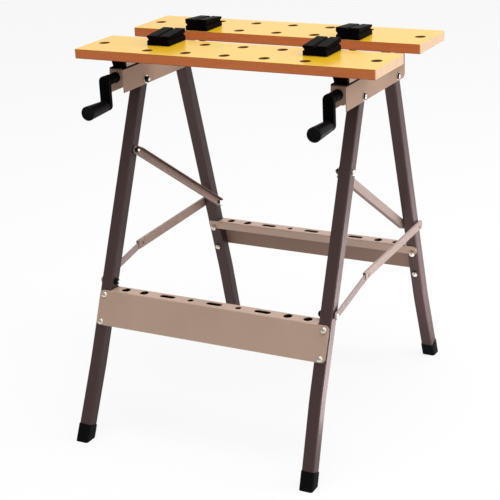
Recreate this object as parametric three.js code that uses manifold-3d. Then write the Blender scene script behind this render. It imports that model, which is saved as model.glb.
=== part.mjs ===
// Folding workbench: two clamping boards on steel rails, carried by a folding trestle.
// Millimetres, Z up, floor at Z = 0. X runs along the boards, Y from the crank side to the back.
// Lengths along Y are counted from the front edge of the worktop until the whole bench is
// centred over its feet at the end.
import * as THREE from 'three';
import { mergeVertices } from 'three/addons/utils/BufferGeometryUtils.js';
import Module from 'manifold-3d';

const wasm = await Module();
wasm.setup();

// Worktop boards
const WORKTOP_HEIGHT = 719;
const BOARD_LENGTH = 605;
const BOARD_WIDTH = 130;
const BOARD_THICKNESS = 18;
const BOARD_CORNER_RADIUS = 3;
const JAW_OPENING = 80;

// Holes for the pegs
const PEG_HOLE_DIAMETER = 20;
const PEG_HOLE_PITCH = 80;
const PEG_HOLES_EACH_SIDE = 2;
const PEG_ROW_INSET = 28.2;
const END_HOLE_INSET = 25;

// Swivel pegs in the outermost holes of the rows beside the jaw opening
const PEG_WIDTH = 47;
const PEG_JAW_REACH = 27.5;
const PEG_BACK_REACH = 35.5;
const PEG_JAW_HEIGHT = 22.5;
const PEG_BACK_HEIGHT = 18;
const PEG_GROOVE_HEIGHT = 11;
const PEG_GROOVE_DEPTH = 3.5;
const PEG_ARCH_WIDTH = 29;
const PEG_ARCH_RISE = 2.5;
const PEG_SHANK_LENGTH = 24;
const PEG_SHANK_CLEARANCE = 0.3;

// Rails under the boards, one pressed steel channel on each side
const RAIL_CENTRE = 225.5;
const RAIL_SHEET = 1.5;
const RAIL_DEPTH = 44;
const RAIL_FRONT_INSET = 18;
const RAIL_REAR_INSET = 46;
const RAIL_CORNER_RADIUS = 10;
const PIVOT_ABOVE_RAIL_EDGE = 9;
const FRONT_PIVOT_FROM_RAIL_FRONT = 80;
const REAR_PIVOT_FROM_RAIL_END = 34.3;
const TAB_HEIGHT = 33;
const TAB_CORNER_RADIUS = 6;

// Carriers between the boards and the rails
const CARRIER_HEIGHT = 19.4;
const CARRIER_SHEET = 1.5;
const CARRIER_FRONT_INSET = 34;
const CARRIER_BEYOND_JAW = 12;
const BRACKET_FRONT_INSET = 36;
const BRACKET_RAIL_END_INSET = 2;
const SLIDER_FRONT_INSET = 27;
const SLIDER_TONGUE_LENGTH = 24;
const SLIDER_TAPER = 4;
const SLIDER_SHOULDER = 6;

// Clamping screws, their nuts and cranks
const SCREW_DIAMETER = 10;
const SCREW_BELOW_RAIL_TOP = 14;
const SCREW_CLEARANCE = 0.3;
const SCREW_BEYOND_TRAVEL = 10;
const SCREW_COLLAR_DIAMETER = 17;
const SCREW_COLLAR_LENGTH = 4;
const NUT_WIDTH = 18;
const NUT_HEIGHT = 17;
const NUT_LENGTH = 16;
const NUT_CARRIER_INSET = 2;
const NUT_NECK_WIDTH = 12;
const NECK_SLOT_SIDE_CLEARANCE = 1;
const NECK_SLOT_END_CLEARANCE = 5;
const JAW_CLOSING_TRAVEL = 78;
const JAW_OPENING_TRAVEL = 10;
const CRANK_HUB_DIAMETER = 19;
const CRANK_HUB_LENGTH = 33;
const CRANK_RADIUS = 45;
const CRANK_ARM_WIDTH = 21;
const CRANK_ARM_THICKNESS = 11;
const CRANK_PIN_DIAMETER = 8;
const GRIP_LENGTH = 60;
const GRIP_END_DIAMETER = 27;
const GRIP_NECK_DIAMETER = 22;
const GRIP_END_WALL = 6;
const GRIP_EDGE = 2.5;

// Legs: square tubes that turn on bolts through the rails
const LEG_SIZE = 24;
const LEG_WALL = 1.5;
const LEG_CORNER_RADIUS = 3;
const LEG_RAIL_CLEARANCE = 1;
const LEG_TOP_OVERRUN = 9;
const FRONT_LEG_SPLAY = THREE.MathUtils.degToRad(22.5);
const REAR_LEG_SPLAY = THREE.MathUtils.degToRad(16.3);
const LEG_LEAN = THREE.MathUtils.degToRad(0.5);
const LEG_FLARE = THREE.MathUtils.degToRad(1.6);
const LEG_BEND_HEIGHT = 154;
const FOOT_WALL = 1.2;
const FOOT_HEIGHT = 30;
const FOOT_SOLE = 10;

// Trays across each pair of legs, with heights given along the leg from its pivot
const FRONT_TRAY_DROP = 410;
const REAR_TRAY_DROP = 392.5;
const TRAY_SHEET = 1.2;
const TRAY_FACE_HEIGHT = 67;
const TRAY_LIP_HEIGHT = 19;
const TRAY_END_INSET = 1.5;
const TRAY_SHELF_CLEARANCE = 0.6;
const TRAY_CORNER_RADIUS = 8;
const TRAY_BOLT_INSET = 9;
const TRAY_BOLT_SPACING = 51.5;
const TOOL_HOLE_DIAMETER = 17;
const TOOL_HOLE_FROM_MIDDLE = 151;
const TOOL_HOLE_SPACING = 40;
const SMALL_HOLE_DIAMETER = 12;
const TOOL_SLOT_LENGTH = 33;
const TOOL_SLOT_WIDTH = 12;
const TOOL_SLOT_PITCH = 100;

// Braces, with their pivots given along the legs from the rail pivots
const BAR_FRONT_DROP = 136.5;
const BRACE_REAR_DROP = 342;
const BRACE_FRONT_DROP = 391;
const BAR_HEIGHT = 17;
const BAR_FLANGE = 10;
const BAR_SHEET = 1.5;
const BAR_OVERRUN = 6;
const BAR_CORNER_RADIUS = 4;
const BAR_LEG_GAP = 0.6;
const CHANNEL_LEG_GAP = 0.5;
const CHANNEL_SHEET = 1.2;
const CHANNEL_INNER_HEIGHT = 18;
const CHANNEL_OUTER_HEIGHT = 14.5;
const CHANNEL_PIVOT_BELOW_TOP = 9.3;
const CHANNEL_ELBOW_OVERRUN = 16;
const CHANNEL_REAR_OVERRUN = 11;
const ELBOW_ALONG = 145.6;
const ELBOW_RISE = 15;
const STRIP_HEIGHT = 14;
const STRIP_THICKNESS = 2.5;
const STRIP_CLEARANCE = 0.8;
const STRIP_BOLT_LEG_GAP = 0.8;

// Bolts and rivets
const RAIL_BOLT_DIAMETER = 8;
const RAIL_BOLT_HEAD_DIAMETER = 15;
const BOLT_DIAMETER = 6;
const BOLT_HEAD_DIAMETER = 12;
const BOLT_HEAD_HEIGHT = 4;
const BOLT_HEAD_CROWN = 2.5;
const BOLT_NUT_HEIGHT = 5;
const BOLT_TAIL = 2.5;
const RIVET_HEAD_DIAMETER = 10;
const BOLT_CLEARANCE = 0.3;

// Gap left between pieces that bear on each other
const SEAT_GAP = 0.3;

// Facets
const HOLE_SEGMENTS = 16;
const BOLT_SEGMENTS = 8;
const CORNER_SEGMENTS = 2;

// Heights and places worked out from the sizes above
const boardUnderside = WORKTOP_HEIGHT - BOARD_THICKNESS;
const worktopDepth = 2 * BOARD_WIDTH + JAW_OPENING;
const rearBoardFront = BOARD_WIDTH + JAW_OPENING;
const carrierTop = boardUnderside - SEAT_GAP;
const carrierBottom = carrierTop - CARRIER_HEIGHT;
const railTop = carrierBottom - SEAT_GAP;
const railBottom = railTop - RAIL_DEPTH;
const railHalfInside = LEG_SIZE / 2 + LEG_RAIL_CLEARANCE;
const railHalf = railHalfInside + RAIL_SHEET;
const railFront = RAIL_FRONT_INSET;
const railEnd = worktopDepth - RAIL_REAR_INSET;
const screwHeight = railTop - SCREW_BELOW_RAIL_TOP;
const pivotHeight = railBottom + PIVOT_ABOVE_RAIL_EDGE;
const frontPivot = new THREE.Vector2(railFront + FRONT_PIVOT_FROM_RAIL_FRONT, pivotHeight);
const rearPivot = new THREE.Vector2(railEnd - REAR_PIVOT_FROM_RAIL_END, pivotHeight);
const carrierEnd = BOARD_WIDTH + CARRIER_BEYOND_JAW;
const nutEnd = carrierEnd - NUT_CARRIER_INSET;
const nutFront = nutEnd - NUT_LENGTH;
const hubEnd = railFront - SEAT_GAP;
const armBack = hubEnd - CRANK_HUB_LENGTH;
const armFront = armBack - CRANK_ARM_THICKNESS;
const gripOpen = armFront - SEAT_GAP;
const gripEnd = gripOpen - GRIP_LENGTH;

// The legs lean outwards a little: distance of a leg from the middle of the bench below its pivot
function legCentre(drop) {
  return RAIL_CENTRE + drop * Math.tan(LEG_LEAN);
}

function legInside(drop) {
  return legCentre(drop) - LEG_SIZE / 2;
}

function legOutside(drop) {
  return legCentre(drop) + LEG_SIZE / 2;
}

const barOutside = legInside(BAR_FRONT_DROP) - BAR_LEG_GAP;
const channelInside = legOutside(BRACE_REAR_DROP) + CHANNEL_LEG_GAP;
const stripInside = channelInside + CHANNEL_SHEET + STRIP_CLEARANCE;
const stripOutside = stripInside + STRIP_THICKNESS;
const channelOutside = stripOutside + STRIP_CLEARANCE + CHANNEL_SHEET;

const SIDES = [
  { name: 'left', sign: -1 },
  { name: 'right', sign: 1 },
];

// A point on a leg, measured along it from its pivot
function legPoint(pivot, turn, drop) {
  return new THREE.Vector2(pivot.x + drop * Math.sin(turn), pivot.y - drop * Math.cos(turn));
}

const frontTurn = -FRONT_LEG_SPLAY;
const rearTurn = REAR_LEG_SPLAY;
const barFront = legPoint(frontPivot, frontTurn, BAR_FRONT_DROP);
const braceRear = legPoint(rearPivot, rearTurn, BRACE_REAR_DROP);
const braceFront = legPoint(frontPivot, frontTurn, BRACE_FRONT_DROP);

// The elbow of the folding brace stands a little above the line between its two ends
const braceLine = braceRear.clone().sub(braceFront).normalize();
const elbow = new THREE.Vector2(
  braceFront.x + braceLine.x * ELBOW_ALONG - braceLine.y * ELBOW_RISE,
  braceFront.y + braceLine.y * ELBOW_ALONG + braceLine.x * ELBOW_RISE,
);

const finish = (color, roughness, metalness) => () =>
  new THREE.MeshStandardMaterial({ color, roughness, metalness });
const yellowBoard = finish(0xf2cf74, 0.55, 0);
const taupeSteel = finish(0xac9280, 0.4, 0.6);
const brownTube = finish(0x4a3c3c, 0.4, 0.5);
const zinc = finish(0xd8d4cc, 0.3, 0.9);
const blackPlastic = finish(0x100e0e, 0.5, 0);

// Solids for cutting and joining
function solid(geometry) {
  const bare = geometry.clone();
  bare.deleteAttribute('normal');
  bare.deleteAttribute('uv');
  const merged = mergeVertices(bare, 1e-4);
  return new wasm.Manifold(new wasm.Mesh({
    numProp: 3,
    vertProperties: new Float32Array(merged.attributes.position.array),
    triVerts: new Uint32Array(merged.index.array),
  }));
}

function geometryOf(body) {
  const mesh = body.getMesh();
  const geometry = new THREE.BufferGeometry();
  geometry.setAttribute('position', new THREE.BufferAttribute(mesh.vertProperties, 3));
  geometry.setIndex(new THREE.BufferAttribute(mesh.triVerts, 1));
  geometry.computeVertexNormals();
  return geometry;
}

function join(...geometries) {
  return geometryOf(geometries.map(solid).reduce((whole, next) => whole.add(next)));
}

function cut(geometry, tools) {
  return geometryOf(tools.map(solid).reduce((whole, tool) => whole.subtract(tool), solid(geometry)));
}

// Outlines
function polygon(points) {
  return new THREE.Shape(points.map(([u, v]) => new THREE.Vector2(u, v)));
}

function roundedRectangle(left, bottom, right, top, radius) {
  const shape = new THREE.Shape();
  shape.moveTo(left + radius, bottom);
  shape.absarc(right - radius, bottom + radius, radius, -Math.PI / 2, 0);
  shape.absarc(right - radius, top - radius, radius, 0, Math.PI / 2);
  shape.absarc(left + radius, top - radius, radius, Math.PI / 2, Math.PI);
  shape.absarc(left + radius, bottom + radius, radius, Math.PI, Math.PI * 1.5);
  return shape;
}

// Round-ended outline between two points on a line along U
function stadium(from, to, width) {
  const shape = new THREE.Shape();
  shape.moveTo(from, -width / 2);
  shape.absarc(to, 0, width / 2, -Math.PI / 2, Math.PI / 2);
  shape.absarc(from, 0, width / 2, Math.PI / 2, Math.PI * 1.5);
  return shape;
}

// Extrusions along X, Y and Z of an outline drawn in the other two axes
function alongZ(shape, from, to, curveSegments = CORNER_SEGMENTS) {
  const geometry = new THREE.ExtrudeGeometry(shape, { depth: to - from, bevelEnabled: false, curveSegments });
  return geometry.translate(0, 0, from);
}

const sideView = new THREE.Matrix4().makeBasis(
  new THREE.Vector3(0, 1, 0), new THREE.Vector3(0, 0, 1), new THREE.Vector3(1, 0, 0));

function alongX(shape, from, to, curveSegments) {
  return alongZ(shape, from, to, curveSegments).applyMatrix4(sideView);
}

function alongY(shape, from, to, curveSegments) {
  return alongZ(shape, -to, -from, curveSegments).rotateX(Math.PI / 2);
}

function box(x0, x1, y0, y1, z0, z1) {
  const geometry = new THREE.BoxGeometry(x1 - x0, y1 - y0, z1 - z0);
  return geometry.translate((x0 + x1) / 2, (y0 + y1) / 2, (z0 + z1) / 2);
}

// Tools for round holes: the flats of the cutter lie on the wanted diameter
function cutter(diameter, length, segments) {
  const radius = diameter / 2 / Math.cos(Math.PI / segments);
  return new THREE.CylinderGeometry(radius, radius, length, segments);
}

function holeAlongX(diameter, x, y, z, reach) {
  return cutter(diameter, 2 * reach, BOLT_SEGMENTS).rotateZ(Math.PI / 2).translate(x, y, z);
}

function holeAlongY(diameter, x, y, z, reach, segments = BOLT_SEGMENTS) {
  return cutter(diameter, 2 * reach, segments).translate(x, y, z);
}

function holeAlongZ(diameter, x, y, z, reach) {
  return cutter(diameter, 2 * reach, HOLE_SEGMENTS).rotateX(Math.PI / 2).translate(x, y, z);
}

// A turned piece: radius and place along +Y, from the axis and back to it
function turned(profile, segments = BOLT_SEGMENTS) {
  return new THREE.LatheGeometry(profile.map(([r, y]) => new THREE.Vector2(r, y)), segments);
}

function shaft(diameter, from, to, segments = HOLE_SEGMENTS) {
  const radius = diameter / 2;
  return turned([[0, from], [radius, from], [radius, to], [0, to]], segments);
}

// A bolt along +Y. Its crowned head stands below 0 and its shank ends at length.
function boltHead(diameter, headDiameter) {
  const head = headDiameter / 2;
  return [
    [0, -BOLT_HEAD_HEIGHT],
    [head - BOLT_HEAD_CROWN, -BOLT_HEAD_HEIGHT],
    [head, BOLT_HEAD_CROWN - BOLT_HEAD_HEIGHT],
    [head, 0],
    [diameter / 2, 0],
  ];
}

function plainBolt(diameter, headDiameter, length) {
  return turned([...boltHead(diameter, headDiameter), [diameter / 2, length], [0, length]]);
}

function boltWithNut(diameter, headDiameter, grip) {
  const shank = diameter / 2;
  const nut = headDiameter / 2;
  const nutEndFace = grip + BOLT_NUT_HEIGHT;
  return turned([
    ...boltHead(diameter, headDiameter),
    [shank, grip],
    [nut, grip],
    [nut, nutEndFace],
    [shank, nutEndFace],
    [shank, nutEndFace + BOLT_TAIL],
    [0, nutEndFace + BOLT_TAIL],
  ]);
}

// A bolt whose shoulder keeps the held piece off the surface behind it
function shoulderBolt(diameter, headDiameter, shoulderFrom, length) {
  const shoulder = headDiameter / 2;
  return turned([
    ...boltHead(diameter, headDiameter),
    [diameter / 2, shoulderFrom],
    [shoulder, shoulderFrom],
    [shoulder, length],
    [0, length],
  ]);
}

// Turns a piece made along +Y so that its head faces the left or right side of the bench
function headToSide(geometry, sign, face, y, z) {
  return geometry.rotateZ(sign * Math.PI / 2).translate(sign * face, y, z);
}

const bench = new THREE.Group();
bench.name = 'folding_workbench';

function addTo(group, name, geometry, material) {
  const mesh = new THREE.Mesh(geometry, material());
  mesh.name = name;
  group.add(mesh);
}

// A group with its origin at a point of the side view, turned about X
function turnedFrame(origin, turn) {
  const group = new THREE.Group();
  group.position.set(0, origin.x, origin.y);
  group.rotation.x = turn;
  bench.add(group);
  return group;
}

// A group whose local Y axis runs from one point of the side view to another
function linkFrame(from, to) {
  return turnedFrame(from, Math.atan2(to.y - from.y, to.x - from.x));
}

function inOrder(a, b) {
  return a < b ? [a, b] : [b, a];
}

// Boards with two rows of peg holes and a hole near each end
function board(front) {
  const half = BOARD_LENGTH / 2;
  const back = front + BOARD_WIDTH;
  const middle = front + BOARD_WIDTH / 2;
  const outline = roundedRectangle(-half, front, half, back, BOARD_CORNER_RADIUS);
  const slab = alongZ(outline, boardUnderside, WORKTOP_HEIGHT);
  const hole = (x, y) => holeAlongZ(PEG_HOLE_DIAMETER, x, y, boardUnderside, 2 * BOARD_THICKNESS);
  const holes = [hole(END_HOLE_INSET - half, middle), hole(half - END_HOLE_INSET, middle)];
  for (let column = -PEG_HOLES_EACH_SIDE; column <= PEG_HOLES_EACH_SIDE; column += 1) {
    holes.push(hole(column * PEG_HOLE_PITCH, front + PEG_ROW_INSET));
    holes.push(hole(column * PEG_HOLE_PITCH, back - PEG_ROW_INSET));
  }
  return cut(slab, holes);
}

addTo(bench, 'front_board', board(0), yellowBoard);
addTo(bench, 'rear_board', board(rearBoardFront), yellowBoard);

// Pegs: a block with a V groove in each flank and one along its sloping top, on a round shank.
// The tall end of the block faces +Y, and the shank stands nearer to that end.
function peg() {
  const half = PEG_WIDTH / 2;
  const depth = PEG_BACK_REACH + PEG_JAW_REACH;
  const groove = PEG_GROOVE_DEPTH;
  const front = polygon([
    [half, 0],
    [half, PEG_GROOVE_HEIGHT - groove],
    [half - groove, PEG_GROOVE_HEIGHT],
    [half, PEG_GROOVE_HEIGHT + groove],
    [half, PEG_JAW_HEIGHT],
    [-half, PEG_JAW_HEIGHT],
    [-half, PEG_GROOVE_HEIGHT + groove],
    [groove - half, PEG_GROOVE_HEIGHT],
    [-half, PEG_GROOVE_HEIGHT - groove],
    [-half, 0],
    [-PEG_ARCH_WIDTH / 2, 0],
    [0, PEG_ARCH_RISE],
    [PEG_ARCH_WIDTH / 2, 0],
  ]);
  const slope = Math.atan2(PEG_JAW_HEIGHT - PEG_BACK_HEIGHT, depth);
  const top = alongX(polygon([
    [-PEG_BACK_REACH, PEG_BACK_HEIGHT],
    [PEG_JAW_REACH, PEG_JAW_HEIGHT],
    [PEG_JAW_REACH, 2 * PEG_JAW_HEIGHT],
    [-depth, 2 * PEG_JAW_HEIGHT],
    [-depth, PEG_BACK_HEIGHT],
  ]), -PEG_WIDTH, PEG_WIDTH);
  const notch = polygon([
    [0, -groove],
    [groove, 0],
    [groove, groove],
    [-groove, groove],
    [-groove, 0],
  ]);
  const topGroove = alongY(notch, -depth, depth);
  topGroove.rotateX(slope);
  topGroove.translate(0, (PEG_JAW_REACH - PEG_BACK_REACH) / 2, (PEG_JAW_HEIGHT + PEG_BACK_HEIGHT) / 2);
  const block = cut(alongY(front, -PEG_BACK_REACH, PEG_JAW_REACH), [top, topGroove]);
  const shank = shaft(PEG_HOLE_DIAMETER - 2 * PEG_SHANK_CLEARANCE, -PEG_SHANK_LENGTH, PEG_GROOVE_HEIGHT);
  return join(block, shank.rotateX(Math.PI / 2));
}

const pegRows = [
  { name: 'front', y: BOARD_WIDTH - PEG_ROW_INSET, turn: 0 },
  { name: 'rear', y: rearBoardFront + PEG_ROW_INSET, turn: Math.PI },
];
for (const row of pegRows) {
  for (const side of SIDES) {
    const x = side.sign * PEG_HOLES_EACH_SIDE * PEG_HOLE_PITCH;
    const geometry = peg().rotateZ(row.turn).translate(x, row.y, WORKTOP_HEIGHT + SEAT_GAP);
    addTo(bench, `peg_${row.name}_${side.name}`, geometry, blackPlastic);
  }
}

// Rails: channels open below, closed in front by the tab that holds the clamping screw
function rail() {
  const channelFront = railFront + RAIL_SHEET / 2;
  const radius = RAIL_CORNER_RADIUS;
  const flank = new THREE.Shape();
  flank.moveTo(channelFront, railBottom);
  flank.lineTo(railEnd - radius, railBottom);
  flank.absarc(railEnd - radius, railBottom + radius, radius, -Math.PI / 2, 0);
  flank.lineTo(railEnd, railTop);
  flank.lineTo(channelFront, railTop);
  const hollow = box(-railHalfInside, railHalfInside, 0, worktopDepth, railBottom - 1, railTop - RAIL_SHEET);
  const slotHalf = NUT_NECK_WIDTH / 2 + NECK_SLOT_SIDE_CLEARANCE;
  const slotFrom = nutFront - JAW_OPENING_TRAVEL - NECK_SLOT_END_CLEARANCE;
  const slotTo = nutEnd + JAW_CLOSING_TRAVEL + NECK_SLOT_END_CLEARANCE;
  const slot = box(-slotHalf, slotHalf, slotFrom, slotTo, railTop - 2 * RAIL_SHEET, railTop + 1);
  const pivotHoles = [frontPivot, rearPivot].map((pivot) =>
    holeAlongX(RAIL_BOLT_DIAMETER + 2 * BOLT_CLEARANCE, 0, pivot.x, pivot.y, 2 * railHalf));
  const channel = cut(alongX(flank, -railHalf, railHalf), [hollow, slot, ...pivotHoles]);
  const tab = alongY(roundedRectangle(-railHalf, railTop - TAB_HEIGHT, railHalf, railTop, TAB_CORNER_RADIUS),
    railFront, railFront + RAIL_SHEET);
  const screwHole = holeAlongY(SCREW_DIAMETER + 2 * SCREW_CLEARANCE, 0, railFront, screwHeight, 2 * RAIL_SHEET,
    HOLE_SEGMENTS);
  return cut(join(channel, tab), [screwHole]);
}

// Inverted channel that carries a board on the rail
function carrier(from, to) {
  const outer = box(-railHalf, railHalf, from, to, carrierBottom, carrierTop);
  const halfInside = railHalf - CARRIER_SHEET;
  const hollow = box(-halfInside, halfInside, from - 1, to + 1, carrierBottom - 1, carrierTop - CARRIER_SHEET);
  return cut(outer, [hollow]);
}

// Slide block: a tapered plug in front of the jaw carrier with a tongue inside it
function slider() {
  const plugEnd = CARRIER_FRONT_INSET - SEAT_GAP;
  const shoulder = carrierTop - SLIDER_SHOULDER;
  const plug = alongY(polygon([
    [-railHalf, carrierTop],
    [-railHalf, shoulder],
    [SLIDER_TAPER - railHalf, carrierBottom],
    [railHalf - SLIDER_TAPER, carrierBottom],
    [railHalf, shoulder],
    [railHalf, carrierTop],
  ]), SLIDER_FRONT_INSET, plugEnd);
  const tongueHalf = railHalf - SLIDER_TAPER;
  const tongueEnd = CARRIER_FRONT_INSET + SLIDER_TONGUE_LENGTH;
  const tongue = box(-tongueHalf, tongueHalf, SLIDER_FRONT_INSET + 1, tongueEnd,
    carrierBottom, carrierTop - CARRIER_SHEET - SEAT_GAP);
  return join(plug, tongue);
}

// Nut on the clamping screw, with a neck up through the slot to the jaw carrier
function screwNut() {
  const body = box(-NUT_WIDTH / 2, NUT_WIDTH / 2, nutFront, nutEnd,
    screwHeight - NUT_HEIGHT / 2, screwHeight + NUT_HEIGHT / 2);
  const neck = box(-NUT_NECK_WIDTH / 2, NUT_NECK_WIDTH / 2, nutFront, nutEnd,
    screwHeight, carrierTop - CARRIER_SHEET - SEAT_GAP);
  const bore = holeAlongY(SCREW_DIAMETER + 2 * SCREW_CLEARANCE, 0, nutFront, screwHeight, 2 * NUT_LENGTH,
    HOLE_SEGMENTS);
  return cut(join(body, neck), [bore]);
}

// Clamping screw with the collar that bears on the back of the tab
function leadScrew() {
  const radius = SCREW_DIAMETER / 2;
  const collar = SCREW_COLLAR_DIAMETER / 2;
  const collarFront = railFront + RAIL_SHEET + SEAT_GAP;
  const collarBack = collarFront + SCREW_COLLAR_LENGTH;
  const end = nutEnd + JAW_CLOSING_TRAVEL + SCREW_BEYOND_TRAVEL;
  const front = armBack + SEAT_GAP;
  return turned([
    [0, front],
    [radius, front],
    [radius, collarFront],
    [collar, collarFront],
    [collar, collarBack],
    [radius, collarBack],
    [radius, end],
    [0, end],
  ], HOLE_SEGMENTS).translate(0, 0, screwHeight);
}

// Crank: hub over the screw, hanging arm and the pin that carries the grip
function crank() {
  const arm = alongY(stadium(0, CRANK_RADIUS, CRANK_ARM_WIDTH), armFront, armBack, HOLE_SEGMENTS / 4);
  arm.rotateY(Math.PI / 2);
  const hub = shaft(CRANK_HUB_DIAMETER, armFront + 1, hubEnd);
  const pin = shaft(CRANK_PIN_DIAMETER, gripEnd + GRIP_END_WALL + SEAT_GAP, armBack - 1, BOLT_SEGMENTS);
  pin.translate(0, 0, -CRANK_RADIUS);
  const socketLength = CRANK_HUB_LENGTH;
  const socket = holeAlongY(SCREW_DIAMETER + 2 * SCREW_CLEARANCE, 0, armBack + socketLength, 0, socketLength,
    HOLE_SEGMENTS);
  return cut(join(arm, hub, pin), [socket]).translate(0, 0, screwHeight);
}

// Grip: a sleeve, wider and closed at its outer end, that spins on the crank's pin
function grip() {
  const endRadius = GRIP_END_DIAMETER / 2;
  const neckRadius = GRIP_NECK_DIAMETER / 2;
  const bore = CRANK_PIN_DIAMETER / 2 + BOLT_CLEARANCE;
  const floor = gripEnd + GRIP_END_WALL;
  return turned([
    [0, gripEnd],
    [endRadius - GRIP_EDGE, gripEnd],
    [endRadius, gripEnd + GRIP_EDGE],
    [neckRadius, gripOpen - GRIP_EDGE],
    [neckRadius - GRIP_EDGE, gripOpen],
    [bore, gripOpen],
    [bore, floor],
    [0, floor],
  ], HOLE_SEGMENTS).translate(0, 0, screwHeight - CRANK_RADIUS);
}

for (const side of SIDES) {
  const column = new THREE.Group();
  column.position.x = side.sign * RAIL_CENTRE;
  bench.add(column);
  addTo(column, `rail_${side.name}`, rail(), taupeSteel);
  addTo(column, `jaw_carrier_${side.name}`, carrier(CARRIER_FRONT_INSET, carrierEnd), taupeSteel);
  addTo(column, `rear_bracket_${side.name}`,
    carrier(rearBoardFront + BRACKET_FRONT_INSET, railEnd - BRACKET_RAIL_END_INSET), taupeSteel);
  addTo(column, `jaw_slider_${side.name}`, slider(), blackPlastic);
  addTo(column, `screw_nut_${side.name}`, screwNut(), zinc);
  addTo(column, `lead_screw_${side.name}`, leadScrew(), zinc);
  addTo(column, `crank_${side.name}`, crank(), blackPlastic);
  addTo(column, `crank_grip_${side.name}`, grip(), blackPlastic);
  const headFace = railHalf + SEAT_GAP;
  for (const [name, pivot] of [['front', frontPivot], ['rear', rearPivot]]) {
    const bolt = boltWithNut(RAIL_BOLT_DIAMETER, RAIL_BOLT_HEAD_DIAMETER, 2 * headFace);
    const placed = headToSide(bolt, side.sign, headFace, pivot.x, pivot.y);
    addTo(column, `rail_bolt_${name}_${side.name}`, placed, zinc);
  }
}

// Legs, feet and trays. Everything on a pair of legs is drawn in that pair's own frame, in which
// the pair hangs straight down from the pivot and the legs lean only to the sides.
function leaning(geometry, sign) {
  return geometry.rotateY(-sign * LEG_LEAN).translate(sign * RAIL_CENTRE, 0, 0);
}

// The lowest part of each leg is bent outwards a little more, from the bend down to the boot
function flared(geometry, sign, length) {
  const bend = LEG_BEND_HEIGHT - length;
  const place = geometry.attributes.position;
  for (let k = 0; k < place.count; k += 1) {
    const below = Math.max(0, bend - place.getZ(k));
    place.setX(k, place.getX(k) + sign * below * Math.tan(LEG_FLARE));
  }
  return geometry;
}

// Extrusion along Z with one more ring of points at the bend
function bentAlongZ(shape, from, bend, to) {
  const levels = [from, bend, to];
  const geometry = new THREE.ExtrudeGeometry(shape, { depth: 2, steps: 2, bevelEnabled: false, curveSegments: 1 });
  const place = geometry.attributes.position;
  for (let k = 0; k < place.count; k += 1) place.setZ(k, levels[Math.round(place.getZ(k))]);
  return geometry;
}

function squareOutline(half, radius) {
  return roundedRectangle(-half, -half, half, half, radius);
}

function legTube(sign, length, linkDrop, trayBolts) {
  const half = LEG_SIZE / 2;
  const outline = squareOutline(half, LEG_CORNER_RADIUS);
  outline.holes.push(squareOutline(half - LEG_WALL, LEG_CORNER_RADIUS - LEG_WALL));
  const straight = bentAlongZ(outline, FOOT_SOLE + SEAT_GAP - length, LEG_BEND_HEIGHT - length, LEG_TOP_OVERRUN);
  const tube = flared(straight, sign, length);
  const boltHole = BOLT_DIAMETER + 2 * BOLT_CLEARANCE;
  const drilled = cut(tube, [
    holeAlongX(RAIL_BOLT_DIAMETER + 2 * BOLT_CLEARANCE, 0, 0, 0, LEG_SIZE),
    holeAlongX(boltHole, 0, 0, -linkDrop, LEG_SIZE),
    ...trayBolts.map((z) => holeAlongY(boltHole, 0, 0, z, LEG_SIZE)),
  ]);
  return leaning(drilled, sign);
}

// Foot: a boot over the end of the leg with its sole cut level with the floor
const footPocketHalf = LEG_SIZE / 2 + SEAT_GAP;
const footHalf = footPocketHalf + FOOT_WALL;

function foot(sign, length, turn) {
  const top = FOOT_HEIGHT - length;
  const boot = alongZ(squareOutline(footHalf, LEG_CORNER_RADIUS + FOOT_WALL), -length - FOOT_HEIGHT, top, 1);
  const pocket = alongZ(squareOutline(footPocketHalf, LEG_CORNER_RADIUS), FOOT_SOLE - length, top + 1, 1);
  const floorLevel = -length * Math.cos(LEG_LEAN);
  const rise = LEG_SIZE * Math.tan(turn);
  const belowFloor = alongX(polygon([
    [-LEG_SIZE, floorLevel + rise],
    [-LEG_SIZE, floorLevel - 2 * FOOT_HEIGHT],
    [LEG_SIZE, floorLevel - 2 * FOOT_HEIGHT],
    [LEG_SIZE, floorLevel - rise],
  ]), -BOARD_LENGTH, BOARD_LENGTH);
  return cut(leaning(flared(cut(boot, [pocket]), sign, length), sign), [belowFloor]);
}

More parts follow.
